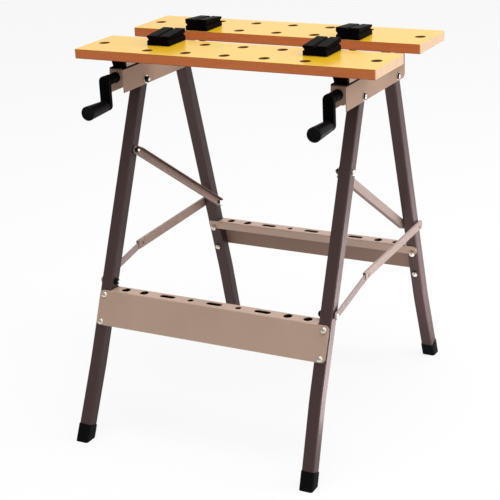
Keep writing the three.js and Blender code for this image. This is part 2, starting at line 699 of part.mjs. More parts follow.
// Tray: a tall face and a short lip bolted to either side of the legs, and a level shelf between
// them with holes and slots for tools. The face stands on the outer side of the bench.
function tray(outer, turn, faceTop, boltHeights) {
  const near = LEG_SIZE / 2 + SEAT_GAP;
  const far = near + TRAY_SHEET;
  const end = legOutside(-faceTop) - TRAY_END_INSET;
  const lipTop = faceTop + 2 * outer * far * Math.tan(turn);
  const face = alongY(roundedRectangle(-end, faceTop - TRAY_FACE_HEIGHT, end, faceTop, TRAY_CORNER_RADIUS),
    ...inOrder(outer * near, outer * far));
  const lip = alongY(roundedRectangle(-end, lipTop - TRAY_LIP_HEIGHT, end, lipTop, TRAY_CORNER_RADIUS),
    ...inOrder(-outer * near, -outer * far));
  const shelfEnd = legInside(-faceTop) - TRAY_SHELF_CLEARANCE;
  const sheet = TRAY_SHEET / Math.cos(turn);
  const shelf = alongX(polygon([
    [outer * far, faceTop],
    [outer * far, faceTop - sheet],
    [-outer * far, lipTop - sheet],
    [-outer * far, lipTop],
  ]), -shelfEnd, shelfEnd);
  const slotHalf = (TOOL_SLOT_LENGTH - TOOL_SLOT_WIDTH) / 2;
  const slots = [-TOOL_SLOT_PITCH, 0, TOOL_SLOT_PITCH].map((x) =>
    alongZ(stadium(x - slotHalf, x + slotHalf, TOOL_SLOT_WIDTH), -near, near));
  const round = (x, diameter) => holeAlongZ(diameter, x, 0, 0, near);
  const rounds = SIDES.flatMap(({ sign }) => [
    round(sign * TOOL_SLOT_PITCH / 2, SMALL_HOLE_DIAMETER),
    round(sign * TOOL_HOLE_FROM_MIDDLE, TOOL_HOLE_DIAMETER),
    round(sign * (TOOL_HOLE_FROM_MIDDLE + TOOL_HOLE_SPACING), TOOL_HOLE_DIAMETER),
  ]);
  const shelfLevel = (faceTop + lipTop) / 2;
  const punches = [...slots, ...rounds].map((tool) => tool.rotateX(-turn).translate(0, 0, shelfLevel));
  const boltHoles = SIDES.flatMap(({ sign }) => boltHeights.map((z) =>
    holeAlongY(BOLT_DIAMETER + 2 * BOLT_CLEARANCE, sign * legCentre(-z), 0, z, LEG_SIZE)));
  return cut(join(face, shelf, lip), [...punches, ...boltHoles]);
}

const trestles = [
  {
    name: 'front',
    pivot: frontPivot,
    turn: frontTurn,
    outer: -1,
    trayDrop: FRONT_TRAY_DROP,
    linkDrop: BAR_FRONT_DROP,
  },
  {
    name: 'rear',
    pivot: rearPivot,
    turn: rearTurn,
    outer: 1,
    trayDrop: REAR_TRAY_DROP,
    linkDrop: BRACE_REAR_DROP,
  },
];
for (const { name, pivot, turn, outer, trayDrop, linkDrop } of trestles) {
  const frame = turnedFrame(pivot, turn);
  const length = pivot.y / Math.cos(turn) / Math.cos(LEG_LEAN);
  const upper = -trayDrop - TRAY_BOLT_INSET;
  const lower = upper - TRAY_BOLT_SPACING;
  const headFace = LEG_SIZE / 2 + TRAY_SHEET + 2 * SEAT_GAP;
  addTo(frame, `${name}_tray`, tray(outer, turn, -trayDrop, [upper, lower]), taupeSteel);
  for (const side of SIDES) {
    addTo(frame, `${name}_leg_${side.name}`, legTube(side.sign, length, linkDrop, [upper, lower]), brownTube);
    addTo(frame, `${name}_foot_${side.name}`, foot(side.sign, length, turn), blackPlastic);
    const bolts = [
      { place: 'upper', z: upper, nutFace: headFace },
      { place: 'lower', z: lower, nutFace: LEG_SIZE / 2 + SEAT_GAP },
    ];
    for (const { place, z, nutFace } of bolts) {
      const bolt = boltWithNut(BOLT_DIAMETER, BOLT_HEAD_DIAMETER, headFace + nutFace);
      bolt.translate(0, -headFace, 0);
      if (outer > 0) bolt.rotateZ(Math.PI);
      bolt.translate(side.sign * legCentre(-z), 0, z);
      addTo(frame, `tray_bolt_${name}_${place}_${side.name}`, bolt, zinc);
    }
  }
}

// Upper bars: channels on the inner faces of the legs, open towards the middle of the bench
const barFrame = linkFrame(barFront, braceRear);
const barLength = barFront.distanceTo(braceRear);

function upperBar(sign) {
  const half = BAR_HEIGHT / 2;
  const flangeEdge = barOutside - BAR_FLANGE;
  const outline = roundedRectangle(-BAR_OVERRUN, -half, barLength + BAR_OVERRUN, half, BAR_CORNER_RADIUS);
  const hollow = box(...inOrder(sign * (flangeEdge - 1), sign * (barOutside - BAR_SHEET)),
    -barLength, 2 * barLength, BAR_SHEET - half, half - BAR_SHEET);
  const holes = [0, barLength].map((y) =>
    holeAlongX(BOLT_DIAMETER + 2 * BOLT_CLEARANCE, sign * barOutside, y, 0, BAR_FLANGE));
  return cut(alongX(outline, ...inOrder(sign * flangeEdge, sign * barOutside)), [hollow, ...holes]);
}

// Folding braces: a channel open below, hinged on the rear leg, and a flat strip that folds into it
const channelFrame = linkFrame(elbow, braceRear);
const channelLength = elbow.distanceTo(braceRear);
const stripFrame = linkFrame(braceFront, elbow);
const stripLength = braceFront.distanceTo(elbow);

function braceChannel(sign) {
  const top = CHANNEL_PIVOT_BELOW_TOP;
  const bottom = top - CHANNEL_INNER_HEIGHT;
  const outerBottom = top - CHANNEL_OUTER_HEIGHT;
  const front = -CHANNEL_ELBOW_OVERRUN;
  const rear = channelLength + CHANNEL_REAR_OVERRUN;
  const inner = sign * channelInside;
  const outer = sign * channelOutside;
  const sheet = sign * CHANNEL_SHEET;
  const section = polygon([
    [inner, bottom],
    [inner, top],
    [outer, top],
    [outer, outerBottom],
    [outer - sheet, outerBottom],
    [outer - sheet, top - CHANNEL_SHEET],
    [inner + sheet, top - CHANNEL_SHEET],
    [inner + sheet, bottom],
  ]);
  const holes = [0, channelLength].map((y) =>
    holeAlongX(BOLT_DIAMETER + 2 * BOLT_CLEARANCE, inner, y, 0, CHANNEL_INNER_HEIGHT));
  return cut(alongY(section, front, rear), holes);
}

function braceStrip(sign) {
  const [from, to] = inOrder(sign * stripInside, sign * stripOutside);
  const strip = alongX(stadium(0, stripLength, STRIP_HEIGHT), from, to, HOLE_SEGMENTS / 4);
  const holes = [0, stripLength].map((y) =>
    holeAlongX(BOLT_DIAMETER + 2 * BOLT_CLEARANCE, sign * stripInside, y, 0, STRIP_HEIGHT));
  return cut(strip, holes);
}

for (const { name, sign } of SIDES) {
  addTo(barFrame, `upper_bar_${name}`, upperBar(sign), taupeSteel);
  addTo(channelFrame, `brace_channel_${name}`, braceChannel(sign), taupeSteel);
  addTo(stripFrame, `brace_strip_${name}`, braceStrip(sign), taupeSteel);

  const bolt = (boltName, geometry, headSign, face, place) =>
    addTo(bench, `${boltName}_${name}`, headToSide(geometry, headSign, face, place.x, place.y), zinc);

  const barBoltFace = legOutside(BAR_FRONT_DROP) + SEAT_GAP;
  const barGrip = barBoltFace - barOutside + BAR_SHEET + SEAT_GAP;
  const barBolt = boltWithNut(BOLT_DIAMETER, BOLT_HEAD_DIAMETER, barGrip);
  bolt('bar_bolt_front', barBolt, sign, barBoltFace, barFront);

  const barRivetFace = barOutside - BAR_SHEET - SEAT_GAP;
  const barRivetLength = legInside(BRACE_REAR_DROP) - SEAT_GAP - barRivetFace;
  const barRivet = plainBolt(BOLT_DIAMETER, BOLT_HEAD_DIAMETER, barRivetLength);
  bolt('bar_rivet_rear', barRivet, -sign, -barRivetFace, braceRear);

  const channelFace = channelOutside + SEAT_GAP;
  const braceBoltLength = channelFace - legInside(BRACE_REAR_DROP);
  const braceBolt = plainBolt(BOLT_DIAMETER, BOLT_HEAD_DIAMETER, braceBoltLength);
  bolt('brace_bolt_rear', braceBolt, sign, channelFace, braceRear);
  const elbowRivet = plainBolt(BOLT_DIAMETER, RIVET_HEAD_DIAMETER, channelFace - channelInside);
  bolt('elbow_rivet', elbowRivet, sign, channelFace, elbow);

  const stripFace = stripOutside + SEAT_GAP;
  const stripBoltLength = stripFace - legOutside(BRACE_FRONT_DROP) - STRIP_BOLT_LEG_GAP;
  const stripSeat = STRIP_THICKNESS + 2 * SEAT_GAP;
  const stripBolt = shoulderBolt(BOLT_DIAMETER, BOLT_HEAD_DIAMETER, stripSeat, stripBoltLength);
  bolt('brace_bolt_front', stripBolt, sign, stripFace, braceFront);
}

// Centre the bench over its feet
const frontReach = frontPivot.x + pivotHeight * Math.tan(frontTurn) - footHalf / Math.cos(frontTurn);
const rearReach = rearPivot.x + pivotHeight * Math.tan(rearTurn) + footHalf / Math.cos(rearTurn);
bench.position.y = -(frontReach + rearReach) / 2;

export default bench;
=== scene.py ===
import math
from collections import namedtuple

import bmesh
import bpy
from mathutils import Matrix, Vector


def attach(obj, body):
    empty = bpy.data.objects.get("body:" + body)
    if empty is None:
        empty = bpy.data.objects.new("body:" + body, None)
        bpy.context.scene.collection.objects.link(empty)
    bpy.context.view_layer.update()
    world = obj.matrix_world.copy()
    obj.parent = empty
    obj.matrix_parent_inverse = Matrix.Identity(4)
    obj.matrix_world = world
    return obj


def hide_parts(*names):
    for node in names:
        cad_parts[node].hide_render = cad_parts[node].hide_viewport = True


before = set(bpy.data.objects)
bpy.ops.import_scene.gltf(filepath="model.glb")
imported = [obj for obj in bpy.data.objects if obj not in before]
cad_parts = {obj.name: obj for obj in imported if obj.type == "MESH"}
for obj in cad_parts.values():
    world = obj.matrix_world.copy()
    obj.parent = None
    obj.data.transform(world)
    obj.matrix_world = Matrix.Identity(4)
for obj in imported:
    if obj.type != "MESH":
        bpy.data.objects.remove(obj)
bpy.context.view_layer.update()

Head = namedtuple("Head", "radius height")
Nut = namedtuple("Nut", "across height")
Washer = namedtuple("Washer", "radius bore height")

# Sizes in millimetres, in the bench's own frame: X along the boards, Y to the back, Z up
MM = 0.001
SEAT = 0.3
FRONT_EDGE = -139.2374
WORKTOP = 719.0
SIDES = (("left", -1.0), ("right", 1.0))

# Boards
BOARD_LENGTH = 605.0
BOARD_WIDTH = 130.0
BOARD_THICKNESS = 18.0
BOARD_MIDDLE = WORKTOP - BOARD_THICKNESS / 2
BOARD_CORNER = 3.0
BOARD_ARRIS = 0.9
EDGE_LINE_FROM = 7.2
EDGE_LINE_TO = 8.8
EDGE_LINE_SHARE = 0.75
JAW_OPENING = 80.0
JAW_TRAVEL = 78.0
PEG_HOLE = 20.0
PEG_PITCH = 80.0
PEG_COLUMNS = range(-2, 3)
PEG_ROW_INSET = 28.2
END_HOLE_INSET = 25.0

# Rails and legs
RAIL_CENTRE = 225.5
RAIL_HALF = 14.5
RAIL_FRONT = FRONT_EDGE + 18.0
PIVOT_HEIGHT = 646.0
FRONT_PIVOT = FRONT_EDGE + 98.0
REAR_PIVOT = FRONT_EDGE + 259.7
FRONT_TURN = math.radians(-22.5)
REAR_TURN = math.radians(16.3)
LEAN = math.radians(0.5)
LEG = 24.0
LEG_WALL = 1.5
LEG_CORNER = 3.0
LEG_TOP = 9.0
LEG_FLARE = math.radians(1.6)
LEG_BEND = 154.0
LEG_BEND_REACH = 12.0
LEG_BEND_STEPS = (-1.0, -0.5, 0.0, 0.5, 1.0)
SOLE = 10.3

# Trays
TRAY_SHEET = 1.2
TRAY_FAR = LEG / 2 + SEAT + TRAY_SHEET
TRAY_FACE = 67.0
TRAY_LIP = 19.0
TRAY_BEND = 2.4
TRAY_CORNER = 8.0
TRAY_SHADE = 17.0
TRAY_SHELF_GAP = 0.6
TRAY_END_INSET = 1.5
TRAY_TAB_LAP = 0.001
FRONT_TRAY_DROP = 410.0
REAR_TRAY_DROP = 392.5
TRAY_SLOTS = (-100.0, 0.0, 100.0)
TRAY_SLOT_LENGTH = 33.0
TRAY_SLOT_WIDTH = 12.0
TOOL_HOLES = (-191.0, -151.0, 151.0, 191.0)
TOOL_HOLE = 17.0
SMALL_HOLES = (-50.0, 50.0)
SMALL_HOLE = 12.0
PUNCH_REACH = 9.0
TRAY_BOLT_INSET = 9.0
TRAY_BOLT_SPACING = 51.5

# Upper bars, with the place past the pivot, half height and flange reach of each section at their ends
BAR_DROP = 136.5
BAR_SHEET = 1.5
BAR_BEND = 2.2
BAR_LEG_GAP = 0.6
BAR_HALF = 8.5
BAR_FLANGE = 10.0
# Height above the bar's middle from which faces take the painted shade of the top flange
BAR_SHADE_FROM = 6.0
BAR_FRONT_END = ((-6.0, 4.5, 2.6), (-4.8, 7.3, 2.6), (-2.0, BAR_HALF, 2.8), (12.0, BAR_HALF, BAR_FLANGE))
BAR_REAR_END = ((0.0, BAR_HALF, BAR_FLANGE), (2.2, 7.9, 9.4), (3.4, 6.6, 8.4))

# Folding braces, with the way in from a channel's end and the lift of its walls there
BRACE_REAR_DROP = 342.0
BRACE_FRONT_DROP = 391.0
ELBOW_ALONG = 145.6
ELBOW_RISE = 15.0
CHANNEL_SHEET = 1.2
CHANNEL_BEND = 1.6
CHANNEL_LEG_GAP = 0.5
CHANNEL_TOP = 9.3
CHANNEL_INNER_FOOT = CHANNEL_TOP - 18.0
CHANNEL_OUTER_FOOT = CHANNEL_TOP - 14.5
CHANNEL_PAST_ELBOW = 16.0
CHANNEL_PAST_LEG = 11.0
CHANNEL_END = ((0.0, 3.0), (0.9, 0.9), (3.0, 0.0))
STRIP_HEIGHT = 14.0
STRIP_SHEET = 2.5
STRIP_ROOM = 0.8
STRIP_LEG_GAP = 0.8
STRIP_ARRIS = 0.4
PIVOT_HOLE = 6.6

# Fixings, whose pieces lap into each other
LAP = 0.1
HEAD_SINK = 0.2
BOLT_SHANK = 2.9
BOLT_TAIL = 7.4
TRAY_BOLT_HEAD = Head(5.8, 3.8)
TRAY_NUT = Nut(10.0, 4.6)
TRAY_NUT_GAP = 0.4
RAIL_SHANK = 3.4
RAIL_WASHER = Washer(8.0, 3.8, 0.9)
RAIL_COLLAR = Washer(5.8, 3.6, 2.0)
RAIL_DOME = Head(4.3, 1.7)
RAIL_BACK_WASHER = Washer(8.0, 3.2, 1.1)
RAIL_NUT = Nut(10.5, 4.2)
BAR_BOLT_HEAD = Head(5.9, 3.8)
BAR_WASHER = Washer(8.6, 3.2, 0.4)
BAR_NUT = Nut(9.0, 4.6)
BAR_RIVET_HEAD = Head(4.4, 2.6)
BRACE_BOLT_HEAD = Head(4.6, 2.0)
ELBOW_RIVET_HEAD = Head(4.2, 1.8)
STRIP_BOLT_HEAD = Head(4.8, 2.6)
STRIP_SPACER = 5.9
STRIP_SPACER_BORE = 2.8
BRACE_WASHER = Washer(7.2, 3.0, 1.4)
BRACE_NUT = Nut(10.0, 4.6)
BRACE_BOLT_ENDS = (0.2, 8.0)

# Cranks, with profiles given as a radius and a place from the face of the arm or the end of the grip
CRANK_RADIUS = 45.0
HUB_END = RAIL_FRONT - SEAT
HUB_LENGTH = 33.0
HUB_RADIUS = 9.5
HUB_MOUTH = 8.7
HUB_BORE = 5.3
HUB_EASE = 1.0
HUB_FLOOR = 0.2
HUB_RIB = Washer(10.2, 9.0, 2.2)
ARM_BACK = HUB_END - HUB_LENGTH
HUB_RIB_PLACES = (ARM_BACK + 6.0, HUB_END - 7.0)
ARM_FRONT = ARM_BACK - 11.0
ARM_WIDTH = 21.0
ARM_ARRIS = 1.8
ARM_OVERLAP = 1.0
ARM_CAP = ((0.0, -1.2), (6.0, -1.2), (7.0, -0.4), (7.0, ARM_OVERLAP), (0.0, ARM_OVERLAP))
PIN_RADIUS = 4.0
PIN_START = 6.5
PIN_HEAD = ((0.0, -0.4), (5.6, -0.4), (5.6, 0.5), (4.8, 1.3), (0.0, 1.3))
GRIP_OPEN = ARM_FRONT - SEAT
GRIP_END = GRIP_OPEN - 60.0
GRIP_END_RADIUS = 13.5
GRIP_NECK_RADIUS = 11.0
GRIP_ROUNDING = 2.6
GRIP_DISH = ((0.0, 0.9), (5.0, 0.8), (9.6, 0.3), (10.4, 0.0))
GRIP_GROOVES = (5.0, 53.0)
GROOVE = ((0.0, 0.0), (0.4, 0.6), (1.0, 0.6), (1.4, 0.0))
GRIP_MOUTH = ((0.0, -1.6), (-0.5, -0.5), (-1.6, 0.0))
GRIP_BORE = 4.4
GRIP_FLOOR = 6.0

# Screws and slide strips
SCREW_HEIGHT = 667.0
SCREW_DIAMETER = 10.0
SCREW_PITCH = 5.0
SCREW_FOOT = 0.3
THREAD_START = RAIL_FRONT + 6.0
NUT_END = FRONT_EDGE + BOARD_WIDTH + 10.0
THREAD_END = NUT_END + JAW_TRAVEL + 10.0
THREAD_LAP = 0.5
THREAD_DEPTH = 1.1
THREAD_STEEPNESS = 3.2
THREAD_STEPS = 20
THREAD_ROWS = 260
COLLAR_FRONT = RAIL_FRONT + 1.8
COLLAR_BACK = RAIL_FRONT + 5.8
COLLAR_RADIUS = 8.5
COLLAR_EASE = 0.5
SLIDE_FRONT = RAIL_FRONT + 2.0
SLIDE_BACK = FRONT_EDGE + BOARD_WIDTH + 12.0
SLIDE_FOOT = 680.3
SLIDE_TOP = 683.7
SLIDE_SHEET = 1.0
SLIDE_CORNER = 0.8
SLIDE_ARRIS = 0.2

# Eased edges of the solids that keep their own shape
PLASTIC_EASE = 0.8
RUBBER_EASE = 0.45
SHEET_EASE = 0.35
NUT_EASE = 0.5
EASED_FROM = math.radians(40)
JOIN_REACH = 0.01 * MM

# Making: sharp angles in degrees, and the share of a normal from which a face counts as facing one way
SHARP_EDGE = 35.0
SHARP_FIXING = 30.0
EVEN_WEIGHT = 80
FACING = 0.5
LEG_FACING = 0.7
DEAD_FLAT = 0.999
PLATE_JOIN = 0.001
CORNER_STEPS = 6
BEND_STEPS = 6
TO_METRES = Matrix.Scale(MM, 4)
UPRIGHT = Matrix(((0, 0, 1, 0), (1, 0, 0, 0), (0, 1, 0, 0), (0, 0, 0, 1)))
ALONG_Y = Vector((0, 1, 0))


# Places that several pieces share
def leg_centre(drop):
    """How far a leg's middle is from the middle of the bench, at a drop below its pivot."""
    return RAIL_CENTRE + drop * math.tan(LEAN)


def leg_inside(drop):
    return leg_centre(drop) - LEG / 2


def leg_outside(drop):
    return leg_centre(drop) + LEG / 2


def on_leg(pivot, turn, drop):
    """Place on a leg in Y and Z."""
    return Vector((pivot + drop * math.sin(turn), PIVOT_HEIGHT - drop * math.cos(turn)))


bar_front = on_leg(FRONT_PIVOT, FRONT_TURN, BAR_DROP)
brace_rear = on_leg(REAR_PIVOT, REAR_TURN, BRACE_REAR_DROP)
brace_front = on_leg(FRONT_PIVOT, FRONT_TURN, BRACE_FRONT_DROP)
brace_line = (brace_rear - brace_front).normalized()
elbow = brace_front + brace_line * ELBOW_ALONG + Vector((-brace_line.y, brace_line.x)) * ELBOW_RISE
bar_outside = leg_inside(BAR_DROP) - BAR_LEG_GAP
channel_inside = leg_outside(BRACE_REAR_DROP) + CHANNEL_LEG_GAP
strip_inside = channel_inside + CHANNEL_SHEET + STRIP_ROOM
strip_outside = strip_inside + STRIP_SHEET
channel_outside = strip_outside + STRIP_ROOM + CHANNEL_SHEET


# Finishes
def tone(red, green, blue):
    """Colour from screen levels of 0 to 255."""
    def level(part):
        share = part / 255
        return share / 12.92 if share <= 0.04045 else ((share + 0.055) / 1.055) ** 2.4
    return (level(red), level(green), level(blue), 1.0)


def add(tree, kind, feeds=None, **settings):
    made = tree.nodes.new(kind)
    for key, value in settings.items():
        setattr(made, key, value)
    for socket, value in (feeds or {}).items():
        if isinstance(value, bpy.types.NodeSocket):
            tree.links.new(value, made.inputs[socket])
        else:
            made.inputs[socket].default_value = value
    return made


def reckoned(tree, operation, first, second):
    return add(tree, "ShaderNodeMath", {0: first, 1: second}, operation=operation).outputs[0]


def spread(tree, value, low, high, to_low, to_high):
    feeds = {"Value": value, "From Min": low, "From Max": high, "To Min": to_low, "To Max": to_high}
    return add(tree, "ShaderNodeMapRange", feeds).outputs["Result"]


def mixed(tree, amount, under, over, mode="MIX"):
    feeds = {0: amount, 6: under, 7: over}
    return add(tree, "ShaderNodeMix", feeds, data_type="RGBA", blend_type=mode).outputs[2]


def toned(tree, colour, by):
    return mixed(tree, 1.0, colour, by, "MULTIPLY")


def overlaid(tree, mask, under, over, share):
    """One colour over another where a mask shows, up to a share."""
    return mixed(tree, reckoned(tree, "MULTIPLY", mask, share), under, over)


FLOAT = "NodeSocketFloat"
VECTOR = "NodeSocketVector"
NOISE_MIDDLE = 0.5
NOISE_LOW = 0.2
NOISE_HIGH = 0.8
RUB_TOP = 0.86
RUB_FADE = 0.16


def shader_group(name, inputs, outputs):
    group = bpy.data.node_groups.new(name, "ShaderNodeTree")
    for label, kind, value in inputs:
        socket = group.interface.new_socket(name=label, in_out="INPUT", socket_type=kind)
        socket.default_value = value
    for label in outputs:
        group.interface.new_socket(name=label, in_out="OUTPUT", socket_type=FLOAT)
    return group, group.nodes.new("NodeGroupInput"), group.nodes.new("NodeGroupOutput")


def noise_on(tree, place, scale, detail, roughness):
    feeds = {"Vector": place, "Scale": scale, "Detail": detail, "Roughness": roughness}
    return add(tree, "ShaderNodeTexNoise", feeds).outputs[0]


def make_speckle():
    """Even mottling: a tone round 1 and a height, from one noise on the piece itself."""
    inputs = [("Scale", FLOAT, 600.0), ("Depth", FLOAT, 0.1)]
    group, enter, leave = shader_group("coat_speckle", inputs, ["Tone", "Height"])
    place = add(group, "ShaderNodeTexCoord").outputs["Object"]
    height = noise_on(group, place, enter.outputs["Scale"], detail=4.0, roughness=0.6)
    swing = reckoned(group, "SUBTRACT", height, NOISE_MIDDLE)
    swing = reckoned(group, "MULTIPLY", swing, enter.outputs["Depth"])
    group.links.new(reckoned(group, "ADD", swing, 1.0), leave.inputs["Tone"])
    group.links.new(height, leave.inputs["Height"])
    return group


def make_streaks():
    """Long fibres or brush marks: noise stretched along one direction of the piece."""
    inputs = [("Stretch", VECTOR, (1.0, 1.0, 1.0)), ("Scale", FLOAT, 60.0), ("Sharpness", FLOAT, 0.2)]
    group, enter, leave = shader_group("drawn_streaks", inputs, ["Streak", "Height"])
    place = add(group, "ShaderNodeTexCoord").outputs["Object"]
    drawn = add(group, "ShaderNodeVectorMath", {0: place, 1: enter.outputs["Stretch"]},
                operation="MULTIPLY").outputs[0]
    height = noise_on(group, drawn, enter.outputs["Scale"], detail=6.0, roughness=0.65)
    low = reckoned(group, "SUBTRACT", NOISE_MIDDLE, enter.outputs["Sharpness"])
    high = reckoned(group, "ADD", NOISE_MIDDLE, enter.outputs["Sharpness"])
    group.links.new(spread(group, height, low, high, 0.0, 1.0), leave.inputs["Streak"])
    group.links.new(height, leave.inputs["Height"])
    return group


def make_rubs():
    """Handling marks: sparse patches where a finish is rubbed."""
    inputs = [("Scale", FLOAT, 40.0), ("Share", FLOAT, 0.35)]
    group, enter, leave = shader_group("handling_rubs", inputs, ["Mask"])
    place = add(group, "ShaderNodeTexCoord").outputs["Object"]
    patch = noise_on(group, place, enter.outputs["Scale"], detail=8.0, roughness=0.72)
    start = reckoned(group, "SUBTRACT", RUB_TOP, enter.outputs["Share"])
    stop = reckoned(group, "ADD", start, RUB_FADE)
    group.links.new(spread(group, patch, start, stop, 0.0, 1.0), leave.inputs["Mask"])
    return group


speckle_group = make_speckle()
streak_group = make_streaks()
rub_group = make_rubs()


def placed(tree, group, **values):
    made = tree.nodes.new("ShaderNodeGroup")
    made.node_tree = group
    for label, value in values.items():
        made.inputs[label].default_value = value
    return made.outputs


def finish_of(name):
    material = bpy.data.materials.new(name)
    material.use_nodes = True
    tree = material.node_tree
    tree.nodes.clear()
    shader = tree.nodes.new("ShaderNodeBsdfPrincipled")
    out = tree.nodes.new("ShaderNodeOutputMaterial")
    tree.links.new(shader.outputs[0], out.inputs["Surface"])
    return material, tree, shader


def set_colour(tree, shader, colour):
    tree.links.new(colour, shader.inputs["Base Color"])


def set_roughness(tree, shader, height, low, high):
    """Roughness that goes with the height of a noise."""
    tree.links.new(spread(tree, height, NOISE_LOW, NOISE_HIGH, low, high), shader.inputs["Roughness"])


def set_bump(tree, shader, height, depth_mm):
    bump = add(tree, "ShaderNodeBump", {"Height": height, "Strength": 1.0, "Distance": depth_mm * MM})
    tree.links.new(bump.outputs[0], shader.inputs["Normal"])


def set_all(shader, **values):
    for label, value in values.items():
        shader.inputs[label.replace("_", " ")].default_value = value


def coated_metal(name, colour, rubbed, rough=0.6, shine=0.12, metallic=0.0,
                 grain_scale=1200.0, grain_depth=0.06, bump_mm=0.003):
    """Satin coat on steel with fine speckle, broad clouding and a few rubbed patches."""
    material, tree, shader = finish_of(name)
    fine = placed(tree, speckle_group, Scale=grain_scale, Depth=grain_depth)
    broad = placed(tree, speckle_group, Scale=9.0, Depth=0.16)
    rubs = placed(tree, rub_group, Scale=34.0, Share=0.24)["Mask"]
    coat = toned(tree, toned(tree, colour, fine["Tone"]), broad["Tone"])
    set_colour(tree, shader, overlaid(tree, rubs, coat, rubbed, share=0.4))
    set_roughness(tree, shader, broad["Height"], low=rough - 0.05, high=rough + 0.07)
    set_all(shader, Metallic=metallic, Specular_IOR_Level=shine)
    set_bump(tree, shader, fine["Height"], bump_mm)
    return material


def board_top_finish():
    """Amber lacquer over fine fibres that run along the board."""
    material, tree, shader = finish_of("board_amber_lacquer")
    fibre = placed(tree, streak_group, Stretch=(1.0, 14.0, 14.0), Scale=9.0, Sharpness=0.3)
    fleck = placed(tree, streak_group, Stretch=(1.0, 9.0, 9.0), Scale=55.0, Sharpness=0.2)
    broad = placed(tree, speckle_group, Scale=5.0, Depth=0.08)
    ground = mixed(tree, fibre["Streak"], tone(234, 183, 28), tone(238, 188, 34))
    flecked = overlaid(tree, fleck["Streak"], ground, tone(242, 196, 52), share=0.2)
    set_colour(tree, shader, toned(tree, flecked, broad["Tone"]))
    set_roughness(tree, shader, fleck["Height"], low=0.2, high=0.27)
    set_all(shader, IOR=1.53)
    set_bump(tree, shader, fleck["Height"], depth_mm=0.004)
    return material


def board_edge_finish():
    """Stained edge: reddish brown with a dark line where the faces meet it."""
    material, tree, shader = finish_of("board_stained_edge")
    fibre = placed(tree, streak_group, Stretch=(1.0, 10.0, 10.0), Scale=22.0, Sharpness=0.25)
    grit = placed(tree, speckle_group, Scale=420.0, Depth=0.35)
    stain = mixed(tree, fibre["Streak"], tone(222, 118, 56), tone(236, 132, 66))
    stain = toned(tree, stain, grit["Tone"])
    place = add(tree, "ShaderNodeTexCoord").outputs["Object"]
    height = add(tree, "ShaderNodeSeparateXYZ", {0: place}).outputs["Z"]
    from_middle = reckoned(tree, "ABSOLUTE", reckoned(tree, "SUBTRACT", height, BOARD_MIDDLE * MM), 0.0)
    line = spread(tree, from_middle, EDGE_LINE_FROM * MM, EDGE_LINE_TO * MM, 0.0, EDGE_LINE_SHARE)
    set_colour(tree, shader, mixed(tree, line, stain, tone(110, 46, 24)))
    set_roughness(tree, shader, grit["Height"], low=0.45, high=0.62)
    set_bump(tree, shader, grit["Height"], depth_mm=0.08)
    return material


def board_end_finish():
    """Bare sawn end: pale fibre board with darker specks."""
    material, tree, shader = finish_of("board_sawn_end")
    grit = placed(tree, speckle_group, Scale=520.0, Depth=0.3)
    broad = placed(tree, speckle_group, Scale=60.0, Depth=0.22)
    rubs = placed(tree, rub_group, Scale=260.0, Share=0.26)["Mask"]
    pale = toned(tree, toned(tree, tone(243, 205, 168), grit["Tone"]), broad["Tone"])
    set_colour(tree, shader, overlaid(tree, rubs, pale, tone(196, 142, 100), share=0.5))
    set_roughness(tree, shader, grit["Height"], low=0.6, high=0.8)
    set_bump(tree, shader, grit["Height"], depth_mm=0.1)
    return material


def board_painted_shade_finish():
    """Bare fibre board in the bores and underneath, darkened to brown as painted shade."""
    material, tree, shader = finish_of("board_painted_shade_fibre")
    grit = placed(tree, speckle_group, Scale=300.0, Depth=0.5)
    set_colour(tree, shader, toned(tree, tone(124, 72, 40), grit["Tone"]))
    set_roughness(tree, shader, grit["Height"], low=0.6, high=0.8)
    set_bump(tree, shader, grit["Height"], depth_mm=0.1)
    return material


def plated_steel(name, colour, dull, rough, stretch=(1.0, 1.0, 1.0)):
    """Zinc plate: bright metal with faint drawn marks and duller patches."""
    material, tree, shader = finish_of(name)
    marks = placed(tree, streak_group, Stretch=stretch, Scale=120.0, Sharpness=0.3)
    rubs = placed(tree, rub_group, Scale=150.0, Share=0.32)["Mask"]
    metal = overlaid(tree, marks["Streak"], colour, dull, share=0.3)
    set_colour(tree, shader, overlaid(tree, rubs, metal, dull, share=0.45))
    set_roughness(tree, shader, marks["Height"], low=rough - 0.06, high=rough + 0.1)
    set_all(shader, Metallic=1.0)
    set_bump(tree, shader, marks["Height"], depth_mm=0.02)
    return material


def moulded(name, colour, rubbed, rough, shine, grain_mm):
    """Moulded plastic or rubber with a fine grain and greyish rubs."""
    material, tree, shader = finish_of(name)
    grain = placed(tree, speckle_group, Scale=1100.0, Depth=0.4)
    rubs = placed(tree, rub_group, Scale=70.0, Share=0.27)["Mask"]
    base = toned(tree, colour, grain["Tone"])
    set_colour(tree, shader, overlaid(tree, rubs, base, rubbed, share=0.35))
    set_roughness(tree, shader, grain["Height"], low=rough - 0.06, high=rough + 0.08)
    set_all(shader, Specular_IOR_Level=shine)
    set_bump(tree, shader, grain["Height"], grain_mm)
    return material


